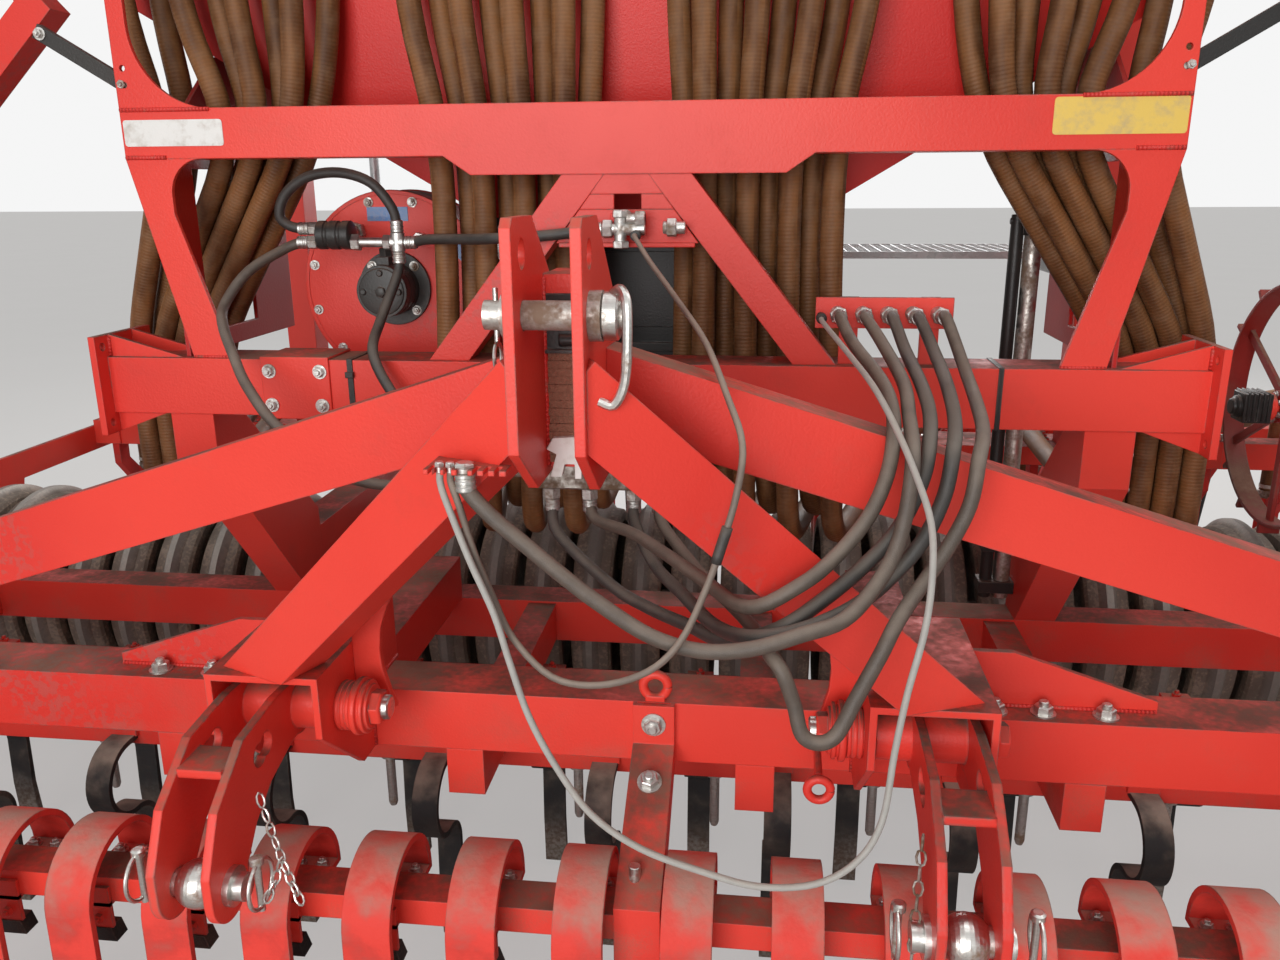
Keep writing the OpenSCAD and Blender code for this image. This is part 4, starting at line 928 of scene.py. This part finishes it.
grille += [rod(inner, outer, wire, 6) for inner, outer in zip(*spoke_ends)]
build("fan_grille", grille, zinc_bolt)


def sticker(x, z, wide, high, turn):
    """a thin rectangle on the front sheet, turned by so many degrees"""
    c, s = math.cos(math.radians(turn)), math.sin(math.radians(turn))
    corners = [(-wide / 2, -high / 2), (wide / 2, -high / 2), (wide / 2, high / 2), (-wide / 2, high / 2)]
    return plate([(x + u * c - v * s, z + u * s + v * c) for u, v in corners], "y", fan_y - 1.2, fan_y)


blue_sheet = printed_sheet("blue_sheet", (0.045, 0.14, 0.36, 1))
build("blank_blue_stickers", [sticker(-487, 1338, 80, 26, 0), sticker(-355, 1275, 50, 26, -42)],
    blue_sheet)


# Saddle and ties on the cross tube: a bent plate holds the left strut's foot and black ties hold
# the hoses of the fan as they pass.
def band(x1, x2, thick):
    """a strip round the front, top and underside of the cross tube"""
    front, rear, low, high = 630, 730, 1000, 1100
    return [block((x1, front - thick, low - thick), (x2, front, high + thick)),
        block((x1, front, high), (x2, rear, high + thick)), block((x1, front, low - thick), (x2, rear, low))]


build("cross_tube_saddle", band(-644, -520, 5), red, bevel=1.5)
tie_lock = block((-490, 622, 1070), (-476, 630, 1080))
build("cross_tube_tie", [*band(-488, -478, 2), *band(604, 612, 2), tie_lock], black)
saddle_bolts = [((x, 625, z), FRONT) for x in (-628, -536) for z in (1020, 1080)]
repeated("saddle_bolts", hex_bolt(16, 8), saddle_bolts, zinc_bolt)


# Hitch brackets: each short brace has a cut gusset under its foot, a ribbed sleeve and a nut close
# either pivot, and a lifting eye and a hook with a ring for the hoses are welded to the beam.
gusset_outline = [(314, 626), (322, 650), (332, 690), (334, 720), (330, 756), (318, 790), (300, 826),
    (322, 836), (376, 752), (376, 626)]


def ring(centre, across, radius, thick, steps=28):
    """a closed ring of round wire"""
    turns = [90 - 360 * k / steps for k in range(steps + 1)]
    return bent(around(centre, across, radius, turns), thick, 10, 1)


pivot_y, pivot_z = 240, 655
collar_outline = [(0, 40.5), (3, 42.5), (9, 42.5), (10, 36), (13, 36), (14, 39.5), (19, 39.5), (20, 33),
    (24, 33)]
sleeve_outline = [(1, 32.5), (2, 36.5), (6, 36.5), (8, 33.5), (10, 36.5), (14, 36.5), (16, 33.5),
    (18, 36.5), (22, 36.5), (23, 32.5)]
lugs = [ring((75, 360, 648), "y", 19, 7.5), block((60, 352, 622), (90, 368, 634)),
    bent([(318, 345, 612), (318, 300, 604), (318, 252, 596), (318, 226, 590)], 6),
    ring((318, 208, 580), "y", 16, 6.5)]
pivot_ends = [upright_bar(rod, 67, 150, 412, 480, 8.5), upright_bar(rod, 67, 150, 404, 414, 12)]
for side in both_sides:
    inwards = (-side, 0, 0)
    lugs += [plate([(side * x, z) for x, z in gusset_outline], "y", 292, 304),
        turned((side * 352, pivot_y, pivot_z), inwards, collar_outline, 36),
        level_bar(hex_bar, side * 332, side * 312, pivot_y, pivot_z, 46),
        level_bar(hex_bar, side * 554, side * 572, pivot_y, pivot_z, 44),
        turned((side * 376, pivot_y, pivot_z), inwards, sleeve_outline, 36, True)]
    pivot_ends.append(turned((side * 350, pivot_y, pivot_z), inwards, [(0, 18), (46, 18), (48, 15)]))
build("hitch_lugs", lugs, red, bevel=1.2)
build("pivot_ends", pivot_ends, bright_steel)


# Linch pins: a sprung ring pin secures either end of each lower hitch pin. It is turned steel, and
# its ring of spring wire snaps over the end of the hitch pin.
def linch_pin(x, outer_side):
    z = 520
    return [upright_bar(rod, x, 0, z + 40, z - 34, 4.8),
        turned((x, 0, z + 34), UP, [(0, 6), (2, 9), (10, 9), (12, 6)], 16),
        ring((x + outer_side * 2, 0, z + 6), "x", 32, 3)]


build("linch_pins_right", linch_pin(562.5, 1) + linch_pin(402.5, -1), bright_steel,
    body="hitch_arm_right_body")
build("linch_pins_left", linch_pin(-401.5, 1) + linch_pin(-562.5, -1), bright_steel,
    body="hitch_arm_left_body")


# Chains: short chains of bent and welded links hang from the arms beside their linch pins. The left
# ones are bright, and the right one has browned.
def chain(start, end, sag, count):
    """a row of links, every second one turned a quarter round"""
    start, end = Vector(start), Vector(end)
    half_long, half_wide, wire = 10, 5.75, 1.6
    shares = [k / count for k in range(count + 1)]
    at = [start.lerp(end, share) - Vector((0, 0, sag * 4 * share * (1 - share))) for share in shares]
    links = []
    for k in range(count):
        middle, ahead = (at[k] + at[k + 1]) / 2, (at[k + 1] - at[k]).normalized()
        beside = ahead.cross(Vector((0.3, 1, 0.1))).normalized()
        out = beside if k % 2 else ahead.cross(beside)
        turns = [math.radians(45 * step) for step in range(9)]
        loop = [middle + ahead * (half_long * math.cos(t)) + out * (half_wide * math.sin(t)) for t in turns]
        links.append(bent(loop, wire, 6, 1))
    return links


for name, side, links, finish in (
        ("chain_left", "left", chain((-405, 30, 640), (-345, -4, 505), 12, 9), bright_steel),
        ("chain_left_short", "left", chain((-372, 10, 560), (-392, -4, 505), 6, 4), bright_steel),
        ("chain_right", "right", chain((430, 30, 640), (420, -10, 486), 4, 9), brown_steel)):
    build(name, links, finish, body=f"hitch_arm_{side}_body")


# Tine clamps: every spring tine is held to its beam by a bent plate and two bolts, and the zinc
# studs of the depth stops reach down below the first beam.
def nut(at, looks, radius, high, stud, stud_end):
    """a hex nut, with the end of its stud standing out of it"""
    return turned(at, looks, [(0, radius), (high, radius), (high, stud), (stud_end, stud)], 6)


tine_pitch = 300
tine_places = [((tine_pitch * k - 30, 520, 445), UP) for k in range(-6, 7)]
tine_places += [((tine_pitch * k + 120, 760, 445), UP) for k in range(-6, 6)]
tine_clamp = [block((-26, -9, 0), (26, 52, 6)), block((-26, -9, -30), (26, 0, 0)),
    *[nut((0, y, 6), UP, 8.5, 7, 4, 13) for y in (12, 38)]]
repeated("tine_clamps", tine_clamp, tine_places, red)
stud = turned((0, 0, 0), UP, [(0, 16), (10, 16), (10, 8.5), (105, 8.5), (112, 6)], 14)
stud_places = [((x, 545, 395.5), DOWN) for x in (-985, -690, -434, -84, 161, 435, 690, 923)]
repeated("depth_studs", [stud], stud_places, zinc_bolt)


# Paddle clamps: each paddle of sprung steel is bolted to the levelling beam from above. A welded
# bracket with a nut in front goes round the beam and carries a black shoe below.
paddle_pitch = 145
paddles_x = [paddle_pitch * k for k in range(-13, 14)]
paddle_bolts = [((paddle + x, 208, 400), UP) for paddle in paddles_x for x in (-18, 18)]
repeated("paddle_bolts", hex_bolt(14, 7), paddle_bolts, zinc_bolt)
paddle_places = [((x, 150, 400), UP) for x in paddles_x]
paddle_clamp = [block((-20, -36, -62), (20, -30, 6)), block((-20, -36, -26), (20, 36, -20)),
    nut((0, -36, -46), FRONT, 8.5, 6, 4.5, 10)]
repeated("paddle_clamps", paddle_clamp, paddle_places, red)
paddle_foot = plate([(-24, -84), (24, -84), (17, -62), (-17, -62)], "y", -38, -12)
repeated("paddle_feet", [paddle_foot], paddle_places, black)


# Side post: a steel tube and a thinner black one stand side by side behind the right leg of the tank
# frame, held by two clamps on the pillar.
post_x, post_y = 728, 1000
post = [rod((post_x - 31, post_y, 560), (post_x - 31, post_y, 1330), 12.5, 20),
    turned((post_x, post_y, 1292), UP, [(0, 19), (3, 22.5), (34, 22.5), (40, 14)], 24),
    rod((post_x, post_y, 1330), (post_x, post_y, 1545), 10, 20),
    rod((post_x, post_y, 1545), (post_x, post_y, 1556), 15, 20),
    level_bar(rod, post_x - 45, post_x + 30, post_y, 1318, 6)]
post += [block((post_x - 48, post_y - 23, z), (750, post_y + 23, z + 24)) for z in (575, 665)]
build("side_post", post, black, bevel=1)
post_tube = rod((post_x, post_y, 560), (post_x, post_y, 1300), 16.5, 24)
build("side_post_tube", [post_tube], dusty_steel)


# Land wheel: its gearbox with a ribbed cover sits on the inner end of the axle, and the hub has six
# bolts round it.
wheel_y, wheel_z = 1450, 880
gearbox = [block((1338, wheel_y - 32, wheel_z - 34), (1400, wheel_y + 32, wheel_z + 34)),
    turned((1400, wheel_y, wheel_z), LEFT, [(60, 26), (70, 26), (72, 20), (80, 18)], 24)]
gearbox += [block((x, wheel_y - 36, wheel_z - 30), (x + 4, wheel_y + 36, wheel_z + 38))
    for x in range(1344, 1389, 11)]
build("wheel_gearbox", gearbox, black, bevel=2)
hub_bolts = [(at, LEFT) for at in around((1420, wheel_y, wheel_z), "x", 29, range(0, 360, 60))]
repeated("wheel_hub_bolts", hex_bolt(10, 5), hub_bolts, zinc_bolt, body="spud_wheel")


# Marker bolts: five bolts hold either marker disc to its hub, square to the folded arm, and the
# plates that lock the folded arms have a bolt at either end.
fold = math.radians(43)
hinge_x, hinge_y, hinge_z = 1900, 720, 860
for side, word in ((1, "right"), (-1, "left")):
    outwards = (-side * math.cos(fold), 0, math.sin(fold))
    hub_bolts = []
    for x, beside, up in around((-1282, 0, 310), "x", 24, range(0, 360, 72)):
        hub_bolts.append(((side * (hinge_x + x * math.cos(fold) + up * math.sin(fold)), hinge_y + beside,
            hinge_z - x * math.sin(fold) + up * math.cos(fold)), outwards))
    repeated(f"marker_hub_bolts_{word}", hex_bolt(10, 5), hub_bolts, zinc_bolt,
        body=f"marker_disc_{word[0]}")
lock_bolts = [((side * x, 648, z), FRONT) for side in both_sides for x, z in ((841, 1553.5), (976, 1634.5))]
repeated("lock_bolts", hex_bolt(13, 7), lock_bolts, zinc_bolt)


# Seed hose clips: each hose is pushed on its spout and its boot and drawn tight by a worm clip of
# zinc-plated strip. Clamping rings of the same strip hold the distributor head and its riser together.
def head_spot(k, tier, side):
    """the spot of a clip on spout k of a tier, counted from the front"""
    turn, reach = math.radians(spout_pitch * (k + 0.5)), 216
    x, y = side * math.sin(turn), -math.cos(turn)
    return (reach * x, head_y + reach * y, tier), (x, y, 0)


def row_spots(front, rear, looks):
    """a spot for each seed row, from y and z of the front rows and of the rear ones between them"""
    middle = (rows - 1) / 2
    return [(((k - middle) * row_pitch, *(rear if k % 2 else front)), looks) for k in range(rows)]


def strip_ring(centre, inner, outer, high, sides):
    return turned(centre, UP, [(0, inner), (0, outer), (high, outer), (high, inner)], sides, True)


worm_x = seed_hose_radius + 4.5
clip = [strip_ring((0, 0, 0), seed_hose_radius - 1, seed_hose_radius + 1.6, 11, 20),
    block((seed_hose_radius, -6, -1), (seed_hose_radius + 8, 6, 12)),
    deep_bar(hex_bar, worm_x, 5, 13, 5.5, 6)]
clip_spots = [head_spot(k, tier, side) for k in range(rows // 4) for tier in (lower_tier, upper_tier)
    for side in both_sides]
clip_spots += row_spots((front_boot_y, boot_z + 12), (rear_boot_y, boot_z + 12), UP)
repeated("hose_clips", clip, clip_spots, zinc_bolt)
bolt_turns = range(15, 360, 30)
slope_up, slope_out = 0.84, 0.54
head_bolts = around((0, head_y, 2449.3), "z", 150, bolt_turns)
head_slopes = around((0, 0, slope_up), "z", slope_out, bolt_turns)
repeated("head_bolts", hex_bolt(13, 7), list(zip(head_bolts, head_slopes)), zinc_bolt)
head_rings = [strip_ring((0, head_y, z), 178, 184, 12, 48) for z in (2300, 2361, 2423)]
head_rings += [strip_ring((0, head_y, z), 54, 60, 16, 36) for z in (2107, 2272)]
build("head_rings", head_rings, zinc_bolt)


# Seed tank: the hopper is folded from painted sheet, with a rolled rim, pressed ribs and rivets, and
# has a level window in a rubber seal on either side.
tank_front, tank_rear, tank_side, fold_z = 820, 2000, 1020.5, 1762
seam_front, seam_rear = tank_front - 0.5, tank_rear + 0.5
folds = [block((-1024, tank_front - 4, 2094), (1024, tank_front + 12, 2100)),
    block((-1026, tank_front - 10, 2086), (1026, tank_front + 0.5, 2100))]
folds += [rod((x, seam_front, 1765), (x, seam_front, 2006), 3, 8) for x in (-680, 680)]
folds += [rod((x, seam_rear, 1765), (x, seam_rear, 2050), 4, 8) for x in (-680, 0, 680)]
folds += [rod((-1018, y, fold_z), (1018, y, fold_z), 4.5, 8) for y in (seam_front, seam_rear)]
for side in both_sides:
    x = side * tank_side
    folds += [rod((x, tank_front + 4, fold_z), (x, tank_rear - 4, fold_z), 4.5, 8)]
    folds += [rod((x, y, 1765), (x, y, 2094), 4, 8) for y in (1210, 1610)]
build("tank_rim_and_folds", folds, hopper_red)
window_glass = printed_sheet("smoked_level_window", (0.035, 0.040, 0.045, 1))
window = rounded_outline(1355, 1465, 1850, 1990, 18)
windows = [plate(window, "x", *sorted((side * 1020, side * 1023))) for side in both_sides]
build("level_windows", windows, window_glass, bevel=0.8)
seal = rounded_outline(1350, 1470, 1845, 1995, 22)
seals = [bent([(side * 1022, y, z) for y, z in [*seal, seal[0]]], 4.5, 8, 1) for side in both_sides]
build("window_seals", seals, black)

rivet_pitch = 90
rivets_x = [side * rivet_pitch * (k + 0.5) for side in both_sides for k in range(11)]
rivet_spots = [((x, tank_front, 2078), FRONT) for x in rivets_x]
rivet_spots += [((x, tank_rear, 1790), REAR) for x in rivets_x]
rivet = turned((0, 0, 0), UP, [(0, 6), (1.5, 5.5), (3, 3)], 10)
repeated("tank_rivets", [rivet], rivet_spots, hopper_red)


# Lid: the galvanised lid of the hopper has a folded edge, four pressed stiffeners and two handles of
# bent rod. Two rubber latches on the hopper's rear wall hold it shut.
lid_top, lid_front, lid_rear = 2110, 1420, 2012
stiffener = [(lid_front + 30, lid_top - 0.5), (lid_front + 40, lid_top + 12), (lid_rear - 40, lid_top + 12),
    (lid_rear - 30, lid_top - 0.5)]
lid_forms = [plate(stiffener, "x", x - 25, x + 25) for x in (-850, -350, 350, 850)]
lid_forms += [rod((-1026, lid_rear - 3, 2068), (1026, lid_rear - 3, 2068), 4.5, 8),
    rod((-1024, lid_front + 3, lid_top - 2), (1024, lid_front + 3, lid_top - 2), 4, 8)]
lid_forms += [rod((side * 1025, lid_front + 4, lid_top - 2), (side * 1025, lid_rear - 4, lid_top - 2), 4, 8)
    for side in both_sides]
build("lid_stiffeners", lid_forms, zinc, body="tank_lid", bevel=1.5)
handles = [bent([(x - 70, lid_rear - 2, 2098), (x - 70, lid_rear + 22, 2096), (x + 70, lid_rear + 22, 2096),
    (x + 70, lid_rear - 2, 2098)], 6) for x in (-550, 550)]
build("lid_handles", handles, black, body="tank_lid")
latches = [form for x in (-620, 620) for form in (
    block((x - 18, tank_rear, 1950), (x + 18, tank_rear + 6, 1990)),
    bent([(x, tank_rear + 6, 1972), (x, tank_rear + 17, 1990), (x, tank_rear + 19, 2030)], 7),
    turned((x - 14, tank_rear + 10, 1970), RIGHT, [(0, 6), (28, 6)], 12))]
build("lid_latches", latches, black, bevel=1)


# Meter: the black dosing housing under the tank has bolted cover plates in front, a round pressed
# cover with six bolts on either side, and a crank of bent rod on its right.
shaft_y, shaft_z = 1080, 1190
meter = [block((-153, 886, 1082), (153, 890.5, 1098)), block((-120, 885, 1015), (120, 890.5, 1070)),
    block((-128, 946.5, 1120), (128, 950.5, 1265)), block((-290, 896.5, 1292), (290, 900.5, 1326))]
side_cover = [(0, 80), (2, 84), (8, 84), (10, 30), (16, 28)]
meter += [turned((side * 188, shaft_y, shaft_z), (side, 0, 0), side_cover, 40) for side in both_sides]
crank = [(204, shaft_y, shaft_z), (222, shaft_y, shaft_z), (222, 1000, shaft_z), (262, 1000, shaft_z)]
meter += [bent(crank, 7)]
build("meter_covers", meter, black, bevel=1.2)
meter_bolts = [((x, 896.5, 1309), FRONT) for x in (-270, -160, 160, 270)]
meter_bolts += [((x, 946.5, z), FRONT) for x in (-118, 118) for z in (1130, 1255)]
meter_bolts += [(at, (side, 0, 0)) for side in both_sides
    for at in around((side * 196.5, shaft_y, shaft_z), "x", 66, range(0, 360, 60))]
repeated("meter_bolts", hex_bolt(12, 6), meter_bolts, zinc_bolt)


# Walkway: the loading platform is a welded grating of flat bars on edge in a frame of the same bar,
# the steps have serrated treads, and the handrail's posts stand on bolted flanges.
deck_low, deck_high, deck_front, deck_rear = 1180, 1200, 2010, 2410
deck = [block((-1090, y, deck_low), (1090, y + 4, deck_high)) for y in (deck_front, deck_rear - 4)]
deck += [block((x, deck_front, deck_low), (x + 4, deck_rear, deck_high)) for x in (-1090, 1086)]
deck_frame = build("deck_frame", deck, zinc)
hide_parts("platform")
bar_pitch = 33
bar_spots = [((bar_pitch * k - 1056, 2210, deck_low), UP) for k in range(65)]
repeated("deck_bars", [block((-1.5, -196, 0), (1.5, 196, 19.5))], bar_spots, zinc)
cross_spots = [((0, bar_pitch * k + 2045, deck_low), UP) for k in range(11)]
repeated("deck_cross_bars", [block((-1086, -1.5, 6), (1086, 1.5, 19))], cross_spots, zinc)
stair_slope, tread_thickness, tooth_pitch, tooth_rows = 0.22, 20, 29, (0, 28)
tooth_spots = [((tooth_pitch * j, 2446 + (1060 - z) * stair_slope + row, z + tread_thickness), UP)
    for z in (810, 935, 1060) for j in range(-10, 11) for row in tooth_rows]
tooth = plate([(-8, 0), (-3, 5), (3, 5), (8, 0)], "y", -2, 2)
repeated("step_teeth", [tooth], tooth_spots, zinc)
feet = []
for side in both_sides:
    for x, half in ((380, 35), (1070, 20)):
        x *= side
        feet += [block((x - half, deck_rear - 48, deck_high), (x + half, deck_rear, deck_high + 7)),
            turned((x, 2390, 2094), UP, [(0, 16), (6, 15), (10, 8)], 16)]
build("handrail_feet", feet, zinc, bevel=0.8)
walkway_bolts = [((side * x + dx, 2370, deck_high + 7), UP) for side in both_sides for x in (380, 1070)
    for dx in (-14, 14)]
walkway_bolts += [((side * 320, y, z), (side, 0, 0)) for side in both_sides
    for y, z in ((2430, 1170), (2512, 820), (2487, 945), (2460, 1070))]
repeated("walkway_bolts", hex_bolt(11, 6), walkway_bolts, zinc_bolt)


# Coulters: each drag coulter hangs from its rail in a bent clamp plate with four nuts on top, and
# two browned steel collars hold its seed tube in the boot.
coulter_clamp = [block((-30, -4, 0), (30, 70, 6)), block((-30, -7.5, -78), (30, 0, 6)),
    *[nut((x, y, 6), UP, 9.5, 8, 5, 16) for x in (-19, 19) for y in (16, 58)]]
repeated("coulter_clamps", coulter_clamp, row_spots((2080, 640), (2330, 630), UP), red)
boot_collar = [turned((0, 0, -4), UP, [(0, 21.5), (2, 23.5), (20, 23.5), (24, 21.5)]),
    turned((0, 0, 150), UP, [(0, 21.3), (1, 22.6), (14, 22.6), (15, 21.3)])]
boots = row_spots((front_boot_y, boot_z), (rear_boot_y, boot_z), DOWN)
repeated("boot_collars", boot_collar, boots, brown_steel)


# Harrow: the sprung tines stand in the bar. At each one a clip of folded strip goes round the bar
# and is drawn tight by one nut on top.
harrow_clip = [block((-18, -3, -22), (18, 43, -20)), block((-18, -3, 20), (18, 43, 22.5)),
    block((-18, -3.5, -22), (18, 0, 22.5)), block((-18, 40, -22), (18, 43.5, 22.5)),
    nut((0, 20, 22.5), UP, 8, 6, 4, 12)]
repeated("harrow_clips", harrow_clip, row_spots((2890, 440), (2890, 440), UP), black)


# Studio: a plain pale floor, a world that looks white behind the object and in its gloss, and three
# wide soft lamps, in front, above and behind.
floor_size = 60.0
floor_mesh = bpy.data.meshes.new("floor")
floor_mesh.from_pydata([(x, y, 0) for x, y in ((-floor_size, -floor_size), (floor_size, -floor_size),
    (floor_size, floor_size), (-floor_size, floor_size))], [], [(0, 1, 2, 3)])
floor = bpy.data.objects.new("floor", floor_mesh)
bpy.context.scene.collection.objects.link(floor)
floor_finish = Finish("pale_floor", Roughness=0.85)
floor_colour = floor_finish.mixed(floor_finish.noise(1.2), (0.52, 0.50, 0.48, 1), (0.58, 0.56, 0.54, 1))
floor_finish.set(Base_Color=floor_colour)
seen = floor_finish.node("ShaderNodeLightPath", {}, {}, "Is Camera Ray")
glow = floor_finish.node("ShaderNodeEmission", {}, {"Color": (0.80, 0.79, 0.78, 1), "Strength": 1.0})
lit = floor_finish.node("ShaderNodeMixShader", {}, {0: seen * 0.5})
floor_finish.tree.links.new(floor_finish.shader.outputs[0], lit.socket.node.inputs[1])
floor_finish.tree.links.new(glow.socket, lit.socket.node.inputs[2])
floor_finish.tree.links.new(lit.socket, floor_finish.tree.nodes["Material Output"].inputs["Surface"])
floor_mesh.materials.append(floor_finish.material)
world = bpy.data.worlds.new("studio")
bpy.context.scene.world = world
world.use_nodes = True
sky = world.node_tree
background = sky.nodes["Background"]
background.inputs["Color"].default_value = (1, 1, 1, 1)
seen, either, level = (sky.nodes.new(f"ShaderNode{kind}") for kind in ("LightPath", "Math", "MapRange"))
either.operation = "MAXIMUM"
level.inputs["To Min"].default_value = 0.36
level.inputs["To Max"].default_value = 0.92
sky.links.new(seen.outputs["Is Camera Ray"], either.inputs[0])
sky.links.new(seen.outputs["Is Glossy Ray"], either.inputs[1])
sky.links.new(either.outputs[0], level.inputs["Value"])
sky.links.new(level.outputs[0], background.inputs["Strength"])
for name, place, size, watts in (("lamp_front", (-1000, -4800, 1900), 3.4, 225),
        ("lamp_top", (1500, 1200, 4600), 4.0, 80), ("lamp_rear", (600, 6600, 3200), 3.4, 200)):
    lamp = bpy.data.objects.new(name, bpy.data.lights.new(name, "AREA"))
    bpy.context.scene.collection.objects.link(lamp)
    lamp.data.size, lamp.data.energy = size, watts
    lamp.location = spot(*place)
    lamp.rotation_euler = (spot(0, 1000, 900) - lamp.location).to_track_quat("-Z", "Y").to_euler()
bpy.context.scene.view_settings.view_transform = "Standard"
